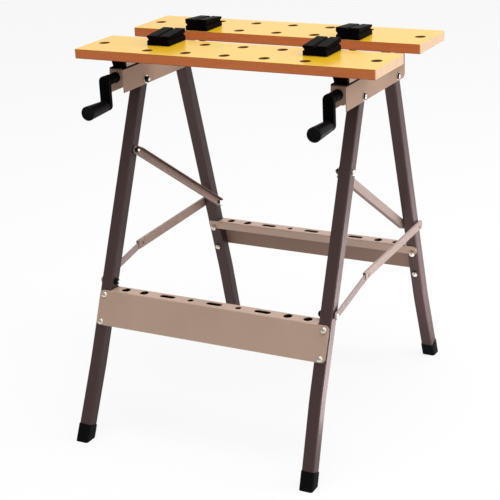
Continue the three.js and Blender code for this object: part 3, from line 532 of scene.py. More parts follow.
board_top = board_top_finish()
board_edge = board_edge_finish()
board_end = board_end_finish()
board_painted_shade = board_painted_shade_finish()
leg_grain = {"metallic": 0.2, "grain_scale": 900.0, "grain_depth": 0.2}
# Darker copy of the leg coat for faces that look towards the middle: painted shade
leg_inner_painted_shade = coated_metal("leg_inner_painted_shade_coat", tone(62, 48, 47), tone(84, 68, 66),
                         rough=0.46, shine=0.15, **leg_grain)
leg_coat = coated_metal("leg_brown_coat", tone(84, 65, 64), tone(112, 94, 91),
                        rough=0.42, shine=0.22, **leg_grain)
sheet_coat = coated_metal("sheet_taupe_coat", tone(206, 174, 153), tone(216, 190, 172),
                          rough=0.36, shine=0.8, metallic=0.1)
rail_coat = coated_metal("rail_taupe_coat", tone(180, 149, 128), tone(196, 170, 152),
                         rough=0.5, shine=0.15, metallic=0.1, bump_mm=0.004)
# Darker copies of the sheet coat for the tray's inner faces and underside, and a near-black band under its
# shelf: painted shade
sheet_inside_painted_shade = coated_metal("sheet_inner_painted_shade_coat", tone(160, 127, 110), tone(172, 144, 128),
                            rough=0.55, shine=0.5, metallic=0.1, grain_depth=0.1, bump_mm=0.004)
sheet_shade = coated_metal("sheet_shaded_coat", tone(34, 26, 23), tone(48, 38, 34),
                           shine=0.1, metallic=0.1, grain_depth=0.1)
bar_coat = coated_metal("bar_taupe_coat", tone(172, 146, 135), tone(190, 168, 158))
# Lighter copy of the bar coat for the outward web: painted light
bar_outer_painted_light = coated_metal("bar_outer_painted_light_coat", tone(192, 170, 161), tone(206, 188, 180))
# Darker copy of the bar coat for the top flange: painted shade
bar_top_painted_shade = coated_metal("bar_top_painted_shade_coat", tone(122, 99, 89), tone(140, 118, 108))
channel_coat = coated_metal("channel_grey_coat", tone(197, 176, 167), tone(212, 194, 187), bump_mm=0.002)
strip_coat = coated_metal("strip_grey_coat", tone(180, 160, 157), tone(196, 180, 178),
                          shine=0.08, grain_depth=0.05, bump_mm=0.001)
zinc = plated_steel("bolt_zinc", tone(232, 226, 214), tone(186, 178, 164), rough=0.26)
polished = plated_steel("dome_polished", tone(240, 235, 228), tone(214, 206, 196), rough=0.13)
rivet_coat = plated_steel("rivet_taupe", tone(206, 186, 168), tone(172, 148, 130), rough=0.34)
screw_steel = plated_steel("screw_steel", tone(196, 192, 186), tone(140, 132, 122),
                           rough=0.3, stretch=(4.0, 1.0, 4.0))
black_plastic = moulded("black_moulding", tone(10, 7, 6), tone(26, 19, 17),
                        rough=0.42, shine=0.012, grain_mm=0.006)
grip_plastic = moulded("grip_moulding", tone(10, 8, 8), tone(28, 24, 24),
                       rough=0.36, shine=0.06, grain_mm=0.008)
boot_rubber = moulded("boot_rubber", tone(12, 10, 10), tone(32, 28, 27),
                      rough=0.6, shine=0.06, grain_mm=0.01)
# Black moulding for real black washers and nuts, and for black parts placed as painted shade
washer_black_and_painted_shade = moulded("washer_black_and_painted_shade", tone(12, 10, 10), tone(30, 26, 24),
                       rough=0.5, shine=0.2, grain_mm=0.01)


# Making pieces
def make_piece(name, mesh, body, stands_for, materials, sharp=SHARP_EDGE):
    for material in materials:
        mesh.materials.append(material)
    mesh.shade_smooth()
    mesh.set_sharp_from_angle(angle=math.radians(sharp))
    piece = bpy.data.objects.new(name, mesh)
    bpy.context.scene.collection.objects.link(piece)
    fair = piece.modifiers.new("even_shading", "WEIGHTED_NORMAL")
    fair.keep_sharp = True
    fair.weight = EVEN_WEIGHT
    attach(piece, body)
    if stands_for:
        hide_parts(*stands_for)


def to_mesh(shape, name):
    shape.transform(TO_METRES)
    bmesh.ops.recalc_face_normals(shape, faces=shape.faces)
    mesh = bpy.data.meshes.new(name)
    shape.to_mesh(mesh)
    shape.free()
    return mesh


def worked_out(holder):
    """Shape of an object as its bevels and modifiers make it."""
    sight = bpy.context.evaluated_depsgraph_get()
    mesh = bpy.data.meshes.new_from_object(holder.evaluated_get(sight))
    shape = bmesh.new()
    shape.from_mesh(mesh)
    bpy.data.meshes.remove(mesh)
    return shape


def paint(shape, coats, coat_of):
    """Gives each face the one of the coats that a rule names."""
    bmesh.ops.recalc_face_normals(shape, faces=shape.faces)
    for face in shape.faces:
        face.material_index = coats.index(coat_of(face))


def merge(shape, other, place):
    other.transform(place)
    mesh = bpy.data.meshes.new("joined")
    other.to_mesh(mesh)
    other.free()
    shape.from_mesh(mesh)
    bpy.data.meshes.remove(mesh)


def facing(origin, direction):
    """A frame at a point, with its Z axis along a direction."""
    turn = Vector(direction).normalized().to_track_quat("Z", "Y").to_matrix().to_4x4()
    return Matrix.Translation(origin) @ turn


def arc(centre, radius, start, stop, steps):
    turn = (stop - start) / steps
    return [(centre[0] + radius * math.cos(math.radians(start + turn * k)),
             centre[1] + radius * math.sin(math.radians(start + turn * k))) for k in range(steps + 1)]


def circle(x, y, diameter, steps=40):
    return arc((x, y), diameter / 2, 0, 360 - 360 / steps, steps - 1)


def rounded_box(left, bottom, right, top, radius):
    return (arc((right - radius, bottom + radius), radius, -90, 0, CORNER_STEPS)
            + arc((right - radius, top - radius), radius, 0, 90, CORNER_STEPS)
            + arc((left + radius, top - radius), radius, 90, 180, CORNER_STEPS)
            + arc((left + radius, bottom + radius), radius, 180, 270, CORNER_STEPS))


def rounded_square(half, radius):
    return rounded_box(-half, -half, half, half, radius)


def round_ended(start, stop, width, steps):
    """Outline along X with a half circle round its start and its stop."""
    return arc((stop, 0), width / 2, -90, 90, steps) + arc((start, 0), width / 2, 90, 270, steps)


def slot_outline(x, length, width):
    half = (length - width) / 2
    return round_ended(x - half, x + half, width, steps=10)


def plate(loops, thickness, arris):
    """A flat plate with holes, lying in XY round Z = 0, with eased edges."""
    curve = bpy.data.curves.new("plate_outline", "CURVE")
    curve.dimensions = "2D"
    curve.fill_mode = "BOTH"
    curve.extrude = thickness / 2 - arris
    curve.bevel_depth = arris
    curve.bevel_resolution = 2
    curve.offset = -arris
    for loop in loops:
        spline = curve.splines.new("POLY")
        spline.points.add(len(loop) - 1)
        for point, (x, y) in zip(spline.points, loop):
            point.co = (x, y, 0.0, 1.0)
        spline.use_cyclic_u = True
    holder = bpy.data.objects.new("plate_outline", curve)
    bpy.context.scene.collection.objects.link(holder)
    shape = worked_out(holder)
    bpy.data.objects.remove(holder)
    bpy.data.curves.remove(curve)
    bmesh.ops.remove_doubles(shape, verts=shape.verts, dist=PLATE_JOIN)
    return shape


def skin(shape, rings, material=0):
    """Faces between rings that follow each other, narrowing to triangles at a point."""
    for lower, upper in zip(rings, rings[1:]):
        for k in range(len(lower)):
            follow = (k + 1) % len(lower)
            corners = dict.fromkeys((lower[k], lower[follow], upper[follow], upper[k]))
            shape.faces.new(list(corners)).material_index = material


def close_ends(shape, rings, material=0):
    for ring in (rings[0][::-1], rings[-1]):
        shape.faces.new(ring).material_index = material


def ring_of(shape, place, radius, along, steps):
    ring = []
    for k in range(steps):
        angle = 2 * math.pi * k / steps
        ring.append(shape.verts.new(
            place @ Vector((radius * math.cos(angle), radius * math.sin(angle), along))))
    return ring


def lathe(shape, profile, place, steps, material=0):
    """Turned form: pairs of radius and place along local Z, from the axis back to the axis."""
    rings = []
    for radius, along in profile:
        if radius > 0.0:
            rings.append(ring_of(shape, place, radius, along, steps))
        else:
            rings.append([shape.verts.new(place @ Vector((0.0, 0.0, along)))] * steps)
    skin(shape, rings, material)


def prism(shape, low_loop, high_loop):
    """Joins two loops of points into a closed solid."""
    rings = [[shape.verts.new(p) for p in loop] for loop in (low_loop, high_loop)]
    skin(shape, rings)
    close_ends(shape, rings)


# Boards
def make_board(name, body, front):
    """Board with its peg holes: lacquered on top, stained along its edges and bare elsewhere, with painted
    shade darkening its bores and underside.
    """
    half = BOARD_LENGTH / 2
    back = front + BOARD_WIDTH
    middle = front + BOARD_WIDTH / 2
    loops = [rounded_box(-half, front, half, back, BOARD_CORNER)]
    for x in (END_HOLE_INSET - half, half - END_HOLE_INSET):
        loops.append(circle(x, middle, PEG_HOLE))
    for column in PEG_COLUMNS:
        for y in (front + PEG_ROW_INSET, back - PEG_ROW_INSET):
            loops.append(circle(column * PEG_PITCH, y, PEG_HOLE))
    shape = plate(loops, BOARD_THICKNESS, BOARD_ARRIS)
    shape.transform(Matrix.Translation((0, 0, BOARD_MIDDLE)))

    def coat_of(face):
        centre = face.calc_center_median()
        rim = min(half - abs(centre.x), centre.y - front, back - centre.y)
        if face.normal.z > FACING:
            return board_top
        # Bores and underside take the darker fibre, as painted shade
        if rim > 2 * BOARD_CORNER or face.normal.z < -FACING:
            return board_painted_shade
        return board_edge if abs(face.normal.y) > abs(face.normal.x) else board_end

    coats = [board_top, board_edge, board_end, board_painted_shade]
    paint(shape, coats, coat_of)
    mesh = to_mesh(shape, name)
    make_piece(name + "_dressed", mesh, body, [name], coats)
    for face in mesh.polygons:
        face.use_smooth = abs(face.normal.z) < DEAD_FLAT


# Legs
def leg_pair(pivot, turn, outer, tray_drop):
    """Frame of a pair of legs at its pivots, its turn, its outer side along Y and its tray's drop."""
    place = Matrix.Translation((0, pivot, PIVOT_HEIGHT)) @ Matrix.Rotation(turn, 4, "X")
    return {"frame": place, "turn": turn, "outer": outer, "drop": tray_drop}


PAIRS = {
    "front": leg_pair(FRONT_PIVOT, FRONT_TURN, -1.0, FRONT_TRAY_DROP),
    "rear": leg_pair(REAR_PIVOT, REAR_TURN, 1.0, REAR_TRAY_DROP),
}


def flare_at(below):
    """How far a leg stands out below its bend, with an easy start round the bend itself."""
    if abs(below) < LEG_BEND_REACH:
        below = (below + LEG_BEND_REACH) ** 2 / (4 * LEG_BEND_REACH)
    return max(0.0, below) * math.tan(LEG_FLARE)


def make_leg(row, side, sign):
    """Square tube, drawn down its outside and up its bore again."""
    pair = PAIRS[row]
    length = PIVOT_HEIGHT / math.cos(pair["turn"]) / math.cos(LEAN)
    lean = Matrix.Rotation(-sign * LEAN, 4, "Y")
    place = pair["frame"] @ Matrix.Translation((sign * RAIL_CENTRE, 0, 0)) @ lean
    outline = rounded_square(LEG / 2, LEG_CORNER)
    bore = rounded_square(LEG / 2 - LEG_WALL, LEG_CORNER - LEG_WALL)
    bend = LEG_BEND - length
    levels = [SOLE - length, *(bend + LEG_BEND_REACH * step for step in LEG_BEND_STEPS), LEG_TOP]
    shape = bmesh.new()
    rings = []
    for loop, along in [(outline, z) for z in levels] + [(bore, z) for z in reversed(levels)]:
        out = sign * flare_at(bend - along)
        rings.append([shape.verts.new(place @ Vector((x + out, y, along))) for x, y in loop])
    skin(shape, [*rings, rings[0]])
    # Faces that look in towards the middle of the bench take the darker coat, as painted shade
    coats = [leg_coat, leg_inner_painted_shade]
    paint(shape, coats, lambda face: leg_inner_painted_shade if sign * face.normal.x < -LEG_FACING else leg_coat)
    name = f"{row}_leg_{side}"
    make_piece(name + "_tube", to_mesh(shape, name), f"{row}_legs", [name], coats)


# Bent sheet
def bent_sheet(corners, bend, sheet):
    """Closed outline of a bent sheet: its outer line through the corners, and its inner line back."""
    def line_at(depth):
        first_side = corners[2] - corners[1]
        last_side = corners[-3] - corners[-2]
        points = [corners[0] + first_side.normalized() * depth]
        for before, corner, after in zip(corners, corners[1:], corners[2:]):
            into = (corner - before).normalized()
            away = (after - corner).normalized()
            half_turn = math.acos(max(-1.0, min(1.0, into.dot(away)))) / 2
            inward = (away - into).normalized()
            centre = corner + inward * (bend / math.cos(half_turn))
            first = corner - into * bend * math.tan(half_turn) - centre
            last = corner + away * bend * math.tan(half_turn) - centre
            for k in range(BEND_STEPS + 1):
                points.append(centre + first.lerp(last, k / BEND_STEPS).normalized() * (bend - depth))
        points.append(corners[-1] + last_side.normalized() * depth)
        return points

    return line_at(0.0) + list(reversed(line_at(sheet)))


def swept(sections, sign):
    """Bent sheet drawn through sections along Y, given as a place and its outline in X and Z."""
    shape = bmesh.new()
    rings = [[shape.verts.new((sign * p.x, along, p.y)) for p in outline] for along, outline in sections]
    skin(shape, rings)
    close_ends(shape, rings)
    return shape


# Trays, in the frame of their pair of legs
def tray_levels(pair):
    """Heights of the top of a tray's face and of its lip, level with each other on the standing bench."""
    face_top = -pair["drop"]
    return face_top, face_top + 2 * pair["outer"] * TRAY_FAR * math.tan(pair["turn"])


def tray_section(pair):
    """Section from the foot of the lip, over the shelf, to the foot of the face."""
    outer = pair["outer"]
    face_top, lip_top = tray_levels(pair)
    corners = [Vector((-outer * TRAY_FAR, lip_top - TRAY_LIP)), Vector((-outer * TRAY_FAR, lip_top)),
               Vector((outer * TRAY_FAR, face_top)), Vector((outer * TRAY_FAR, face_top - TRAY_FACE))]
    section = bent_sheet(corners, TRAY_BEND, TRAY_SHEET)
    # Point that splits off a band just under the shelf, to take painted shade
    shade_foot = Vector((outer * (TRAY_FAR - TRAY_SHEET), face_top - TRAY_SHADE))
    section.insert(len(section) // 2 + 1, shade_foot)
    return section


def tray_punches(pair):
    """Solids where the tool holes go through the shelf."""
    level = sum(tray_levels(pair)) / 2
    place = Matrix.Translation((0, 0, level)) @ Matrix.Rotation(-pair["turn"], 4, "X")
    loops = [slot_outline(x, TRAY_SLOT_LENGTH, TRAY_SLOT_WIDTH) for x in TRAY_SLOTS]
    loops += [circle(x, 0, TOOL_HOLE) for x in TOOL_HOLES]
    loops += [circle(x, 0, SMALL_HOLE) for x in SMALL_HOLES]
    punches = bmesh.new()
    for loop in loops:
        prism(punches, [place @ Vector((x, y, -PUNCH_REACH)) for x, y in loop],
              [place @ Vector((x, y, PUNCH_REACH)) for x, y in loop])
    return punches


def punched(sheet, punches):
    """A sheet with its holes cut."""
    holders = []
    for name, shape in (("tray_sheet", sheet), ("tray_punches", punches)):
        bmesh.ops.recalc_face_normals(shape, faces=shape.faces)
        mesh = bpy.data.meshes.new(name)
        shape.to_mesh(mesh)
        shape.free()
        holder = bpy.data.objects.new(name, mesh)
        bpy.context.scene.collection.objects.link(holder)
        holders.append(holder)
    cut = holders[0].modifiers.new("punched", "BOOLEAN")
    cut.operation = "DIFFERENCE"
    cut.solver = "EXACT"
    cut.object = holders[1]
    result = worked_out(holders[0])
    for holder in holders:
        bpy.data.objects.remove(holder)
    return result


def add_tray_tabs(tray, pair, shelf_end):
    """Ends of a tray's face and lip, which lie on the legs and have rounded corners."""
    outer = pair["outer"]
    face_top, lip_top = tray_levels(pair)
    inner = shelf_end - TRAY_TAB_LAP
    corner = leg_outside(pair["drop"]) - TRAY_END_INSET - TRAY_CORNER
    for top, height, way in ((face_top, TRAY_FACE, outer), (lip_top, TRAY_LIP, -outer)):
        foot = top - height
        loop = [(inner, foot), *arc((corner, foot + TRAY_CORNER), TRAY_CORNER, -90, 0, steps=8),
                *arc((corner, top - TRAY_CORNER), TRAY_CORNER, 0, 90, steps=8), (inner, top)]
        for _, sign in SIDES:
            prism(tray, [Vector((sign * x, way * (TRAY_FAR - TRAY_SHEET), z)) for x, z in loop],
                  [Vector((sign * x, way * TRAY_FAR, z)) for x, z in loop])


def make_tray(row):
    """Tray of bent sheet between a pair of legs, with tool holes in its shelf."""
    pair = PAIRS[row]
    section = tray_section(pair)
    shelf_end = leg_inside(pair["drop"]) - TRAY_SHELF_GAP
    sheet = bmesh.new()
    prism(sheet, [Vector((-shelf_end, p.x, p.y)) for p in section],
          [Vector((shelf_end, p.x, p.y)) for p in section])
    tray = punched(sheet, tray_punches(pair))
    add_tray_tabs(tray, pair, shelf_end)

    # Inner faces and underside take darker coats as painted shade, darkest in a band just under the shelf
    def coat_of(face):
        centre = face.calc_center_median()
        looks_in = -face.normal.y * centre.y > LEG / 4
        if looks_in:
            return sheet_shade if centre.z > -pair["drop"] - TRAY_SHADE else sheet_inside_painted_shade
        return sheet_inside_painted_shade if face.normal.z < -FACING else sheet_coat

    coats = [sheet_coat, sheet_inside_painted_shade, sheet_shade]
    paint(tray, coats, coat_of)
    tray.transform(pair["frame"])
    name = f"{row}_tray"
    make_piece(name + "_sheet", to_mesh(tray, name), f"{row}_legs", [name], coats)


# Upper bars and folding braces, each drawn along Y from its front pivot
def link_frame(start, stop):
    """Frame of a link: its Y axis runs from one pivot to the other."""
    turn = math.atan2(stop.y - start.y, stop.x - start.x)
    return Matrix.Translation((0, start.x, start.y)) @ Matrix.Rotation(turn, 4, "X")


def make_upper_bar(side, sign):
    """Channel open towards the middle, with its flanges sloped off at the front pivot."""
    length = (brace_rear - bar_front).length
    rear_end = [(length + past, half, reach) for past, half, reach in BAR_REAR_END]
    sections = []
    for along, half, reach in (*BAR_FRONT_END, *rear_end):
        inner = bar_outside - reach
        corners = [Vector((inner, -half)), Vector((bar_outside, -half)),
                   Vector((bar_outside, half)), Vector((inner, half))]
        sections.append((along, bent_sheet(corners, BAR_BEND, BAR_SHEET)))
    shape = swept(sections, sign)

    def coat_of(face):
        # The outward web takes a lighter coat: painted light
        if sign * face.normal.x > FACING:
            return bar_outer_painted_light
        # The top flange takes a darker coat: painted shade
        return bar_top_painted_shade if face.calc_center_median().z > BAR_SHADE_FROM else bar_coat

    coats = [bar_coat, bar_top_painted_shade, bar_outer_painted_light]
    paint(shape, coats, coat_of)
    shape.transform(link_frame(bar_front, brace_rear))
    name = f"upper_bar_{side}"
    make_piece(name + "_bent", to_mesh(shape, name), name, [name], coats)


def make_brace_channel(side, sign):
    """Channel open below, its inner wall deeper than the outer one, with rounded ends."""
    rear = (brace_rear - elbow).length + CHANNEL_PAST_LEG
    ends = [(inset - CHANNEL_PAST_ELBOW, lift) for inset, lift in CHANNEL_END]
    ends += [(rear - inset, lift) for inset, lift in reversed(CHANNEL_END)]
    sections = []
    for along, lift in ends:
        corners = [Vector((channel_inside, CHANNEL_INNER_FOOT + lift)),
                   Vector((channel_inside, CHANNEL_TOP)),
                   Vector((channel_outside, CHANNEL_TOP)),
                   Vector((channel_outside, CHANNEL_OUTER_FOOT + lift))]
        sections.append((along, bent_sheet(corners, CHANNEL_BEND, CHANNEL_SHEET)))
    shape = swept(sections, sign)
    # Faces that look in towards the middle take the darker bar coat, as painted shade
    coats = [channel_coat, bar_coat]
    paint(shape, coats, lambda face: bar_coat if sign * face.normal.x < -FACING else channel_coat)
    shape.transform(link_frame(elbow, brace_rear))
    name = f"brace_channel_{side}"
    make_piece(name + "_bent", to_mesh(shape, name), name, [name], coats)


def make_brace_strip(side, sign):
    """Flat strip with round ends and a bolt hole at each pivot."""
    length = (elbow - brace_front).length
    loops = [round_ended(0.0, length, STRIP_HEIGHT, steps=12),
             circle(0, 0, PIVOT_HOLE, steps=24), circle(length, 0, PIVOT_HOLE, steps=24)]
    shape = plate(loops, STRIP_SHEET, STRIP_ARRIS)
    middle = sign * (strip_inside + strip_outside) / 2
    shape.transform(link_frame(brace_front, elbow) @ Matrix.Translation((middle, 0, 0)) @ UPRIGHT)
    name = f"brace_strip_{side}"
    make_piece(name + "_flat", to_mesh(shape, name), name, [name], [strip_coat])


# Fixings, along local Z from the bearing face of the head; a number picks one of their metals
# Index of the black metal, used for real black parts and for black parts that paint shade
BLACK = 1
DOME = 2


def dome_head(shape, place, radius, height, material=0):
    rim = height * 0.28
    shoulder = height * 0.42
    crown = radius * 0.96
    profile = [(0.0, -HEAD_SINK), (radius, -HEAD_SINK), (radius, rim), (crown, shoulder)]
    for degrees in range(15, 90, 15):
        angle = math.radians(degrees)
        profile.append((crown * math.cos(angle), shoulder + (height - shoulder) * math.sin(angle)))
    profile.append((0.0, height))
    lathe(shape, profile, place, steps=36, material=material)


def hex_nut(shape, place, across, height, material=0):
    corner = across / math.sqrt(3)
    ease = across * 0.05
    levels = [(corner - ease, 0.0), (corner, ease), (corner, height - ease), (corner - ease, height)]
    rings = [ring_of(shape, place, radius, along, steps=6) for radius, along in levels]
    skin(shape, rings, material)
    close_ends(shape, rings, material)


def washer(shape, place, radius, bore, height, material=0):
    ease = min(0.25, height * 0.3)
    profile = [(bore, 0.0), (radius - ease, 0.0), (radius, ease), (radius, height - ease),
               (radius - ease, height), (bore, height), (bore, 0.0)]
    lathe(shape, profile, place, steps=36, material=material)


def shank(shape, place, radius, start, stop, material=0):
    ease = radius * 0.2
    profile = [(0.0, start), (radius - ease, start), (radius, start + ease), (radius, stop - ease),
               (radius - ease, stop), (0.0, stop)]
    lathe(shape, profile, place, steps=24, material=material)


def bolt(head, depth):
    """A domed head, with a shank that ends at a depth behind its bearing face."""
    return [(dome_head, 0.0, *head), (shank, 0.0, BOLT_SHANK, -depth, -LAP)]


def make_fixing(name, body, place, parts, metals=(zinc, washer_black_and_painted_shade)):
    """Draws the parts of a fixing, each with its place along the fixing and its sizes."""
    shape = bmesh.new()
    for draw, along, *sizes in parts:
        draw(shape, place @ Matrix.Translation((0, 0, along)), *sizes)
    make_piece(name + "_fixing", to_mesh(shape, name), body, [name], metals, SHARP_FIXING)


def make_tray_bolts(row, side, sign):
    """Two bolts at each end of a tray; the upper one also goes through the lip."""
    pair = PAIRS[row]
    outer = pair["outer"]
    direction = pair["frame"].to_3x3() @ Vector((0, outer, 0))
    head_face = TRAY_FAR + SEAT
    tube_face = LEG / 2 + SEAT
    for level, drop, nut_face in (("upper", 0.0, head_face), ("lower", TRAY_BOLT_SPACING, tube_face)):
        below = pair["drop"] + TRAY_BOLT_INSET + drop
        origin = pair["frame"] @ Vector((sign * leg_centre(below), outer * head_face, -below))
        depth = head_face + nut_face
        make_fixing(f"tray_bolt_{row}_{level}_{side}", f"{row}_legs", facing(origin, direction), [
            *bolt(TRAY_BOLT_HEAD, depth + BOLT_TAIL),
            (hex_nut, -depth - TRAY_NUT_GAP - TRAY_NUT.height, *TRAY_NUT),
        ])


def make_rail_bolts(side, sign):
    """Pivot bolts of the legs, through the rail from outside, with a black collar under the dome as painted
    shade round it.
    """
    face = sign * (RAIL_CENTRE + RAIL_HALF + SEAT)
    grip = 2 * (RAIL_HALF + SEAT)
    collar = RAIL_WASHER.height - HEAD_SINK - LAP
    dome = collar + RAIL_COLLAR.height - LAP
    back_washer = HEAD_SINK - grip - RAIL_BACK_WASHER.height
    for row, pivot in (("front", FRONT_PIVOT), ("rear", REAR_PIVOT)):
        place = facing((face, pivot, PIVOT_HEIGHT), (sign, 0, 0))
        make_fixing(f"rail_bolt_{row}_{side}", "top_frame", place, [
            (washer, -HEAD_SINK, *RAIL_WASHER),
            # The black collar stands for the shade round the dome: painted shade
            (washer, collar, *RAIL_COLLAR, BLACK),
            (dome_head, dome, *RAIL_DOME, DOME),
            (shank, 0.0, RAIL_SHANK, -grip - BOLT_TAIL, dome - LAP, DOME),
            (washer, back_washer, *RAIL_BACK_WASHER, DOME),
            (hex_nut, back_washer + LAP - RAIL_NUT.height, *RAIL_NUT, BLACK),
        ], (rivet_coat, washer_black_and_painted_shade, polished))


def across_bench(sign, face, point, way=1.0):
    """Frame of a fixing across the bench, with its head outwards or, with way -1, inwards."""
    return facing((sign * face, *point), (sign * way, 0, 0))


def make_bar_pivots(side, sign):
    """Bolt at the front of the upper bar, and the rivet at its rear."""
    face = leg_outside(BAR_DROP) + SEAT
    grip = face - bar_outside + BAR_SHEET + SEAT
    # The black nut and the thin black washer between bar and leg paint the shadow round the bolt
    make_fixing(f"bar_bolt_front_{side}", "front_legs", across_bench(sign, face, bar_front), [
        *bolt(BAR_BOLT_HEAD, grip + BOLT_TAIL),
        (hex_nut, -grip - SEAT - BAR_NUT.height, *BAR_NUT, BLACK),
        (washer, bar_outside - face + LAP, *BAR_WASHER, BLACK),
    ])
    inner_face = bar_outside - BAR_SHEET - SEAT
    place = across_bench(sign, inner_face, brace_rear, way=-1.0)
    depth = leg_inside(BRACE_REAR_DROP) - SEAT - inner_face
    parts = bolt(BAR_RIVET_HEAD, depth)
    make_fixing(f"bar_rivet_rear_{side}", f"upper_bar_{side}", place, parts, (washer_black_and_painted_shade,))


def make_brace_pivots(side, sign):
    """Bolts at both ends of the folding brace, and the rivet at its elbow."""
    face = channel_outside + SEAT
    place = across_bench(sign, face, brace_rear)
    parts = bolt(BRACE_BOLT_HEAD, face - leg_inside(BRACE_REAR_DROP))
    make_fixing(f"brace_bolt_rear_{side}", "rear_legs", place, parts, (channel_coat,))
    place = across_bench(sign, face, elbow)
    parts = bolt(ELBOW_RIVET_HEAD, face - channel_inside)
    make_fixing(f"elbow_rivet_{side}", f"brace_channel_{side}", place, parts, (channel_coat,))
    strip_face = strip_outside + SEAT
    depth = strip_face - leg_outside(BRACE_FRONT_DROP) - STRIP_LEG_GAP
    spacer = Washer(STRIP_SPACER, STRIP_SPACER_BORE, depth - STRIP_SHEET - 2 * SEAT)
    place = across_bench(sign, strip_face, brace_front)
    parts = [*bolt(STRIP_BOLT_HEAD, depth), (washer, -depth, *spacer, BLACK)]
    make_fixing(f"brace_bolt_front_{side}", f"brace_strip_{side}", place, parts)


def make_brace_nut(side, sign):
    """Nut behind the front leg, on the end of the brace's front bolt, black with a black washer as painted
    shadow on the leg.
    """
    place = across_bench(sign, leg_inside(BRACE_FRONT_DROP) - LAP, brace_front, way=-1.0)
    on_washer = place @ Matrix.Translation((0, 0, BRACE_WASHER.height - LAP))
    shape = bmesh.new()
    washer(shape, place, *BRACE_WASHER, BLACK)
    hex_nut(shape, on_washer, *BRACE_NUT, BLACK)
    shank(shape, place, BOLT_SHANK, *BRACE_BOLT_ENDS)
    mesh = to_mesh(shape, "brace_nut")
    make_piece(f"brace_nut_{side}", mesh, "front_legs", [], [zinc, washer_black_and_painted_shade], SHARP_FIXING)


# Cranks, grips and screws
def make_crank(side, sign):
    """Arm with the screw's hub at one end and the grip's pin at the other."""
    x = sign * RAIL_CENTRE
    arm_middle = Vector((x, (ARM_FRONT + ARM_BACK) / 2, SCREW_HEIGHT))
    outline = (arc((0, 0), ARM_WIDTH / 2, 0, 180, steps=16)
               + arc((0, -CRANK_RADIUS), ARM_WIDTH / 2, 180, 360, steps=16))
    shape = plate([outline], ARM_BACK - ARM_FRONT, ARM_ARRIS)
    shape.transform(Matrix.Translation(arm_middle) @ Matrix.Rotation(math.radians(90), 4, "X"))
    hub = facing((x, 0, SCREW_HEIGHT), ALONG_Y)
    hub_start = ARM_FRONT + ARM_OVERLAP
    socket_floor = ARM_BACK + HUB_FLOOR
    lathe(shape, [(0.0, hub_start), (HUB_RADIUS, hub_start), (HUB_RADIUS, HUB_END - HUB_EASE),
                  (HUB_MOUTH, HUB_END), (HUB_BORE, HUB_END), (HUB_BORE, socket_floor),
                  (0.0, socket_floor)], hub, steps=40)
    for along in HUB_RIB_PLACES:
        washer(shape, hub @ Matrix.Translation((0, 0, along)), *HUB_RIB)
    lathe(shape, [(radius, ARM_FRONT + along) for radius, along in ARM_CAP], hub, steps=40)
    pin = facing((x, 0, SCREW_HEIGHT - CRANK_RADIUS), ALONG_Y)
    pin_start = GRIP_END + PIN_START
    pin_stop = ARM_BACK - ARM_OVERLAP
    lathe(shape, [(0.0, pin_start), (PIN_RADIUS, pin_start), (PIN_RADIUS, pin_stop), (0.0, pin_stop)],
          pin, steps=24)
    lathe(shape, [(radius, ARM_BACK + along) for radius, along in PIN_HEAD], pin, steps=32)
    name = f"crank_{side}"
    make_piece(name + "_moulding", to_mesh(shape, name), name, [name], [black_plastic])


def make_grip(side, sign):
    """Tapered sleeve with a dished end, two grooves and a blind bore for the pin."""
    rounding = GRIP_ROUNDING
    profile = [(radius, GRIP_END + depth) for radius, depth in GRIP_DISH]
    for degrees in range(15, 105, 15):
        angle = math.radians(degrees)
        profile.append((GRIP_END_RADIUS - rounding + rounding * math.sin(angle),
                        GRIP_END + rounding - rounding * math.cos(angle)))

    def taper(along):
        share = (along - GRIP_END - rounding) / (GRIP_OPEN - GRIP_END - 2 * rounding)
        return GRIP_END_RADIUS + (GRIP_NECK_RADIUS - GRIP_END_RADIUS) * share

    for groove in GRIP_GROOVES:
        for ahead, depth in GROOVE:
            along = GRIP_END + groove + ahead
            profile.append((taper(along) - depth, along))
    profile += [(GRIP_NECK_RADIUS + change, GRIP_OPEN + along) for change, along in GRIP_MOUTH]
    floor = GRIP_END + GRIP_FLOOR
    profile += [(GRIP_BORE, GRIP_OPEN), (GRIP_BORE, floor), (0.0, floor)]
    place = facing((sign * RAIL_CENTRE, 0, SCREW_HEIGHT - CRANK_RADIUS), ALONG_Y)
    shape = bmesh.new()
    lathe(shape, profile, place, steps=56)
    name = f"crank_grip_{side}"
    make_piece(name + "_sleeve", to_mesh(shape, name), name, [name], [grip_plastic])


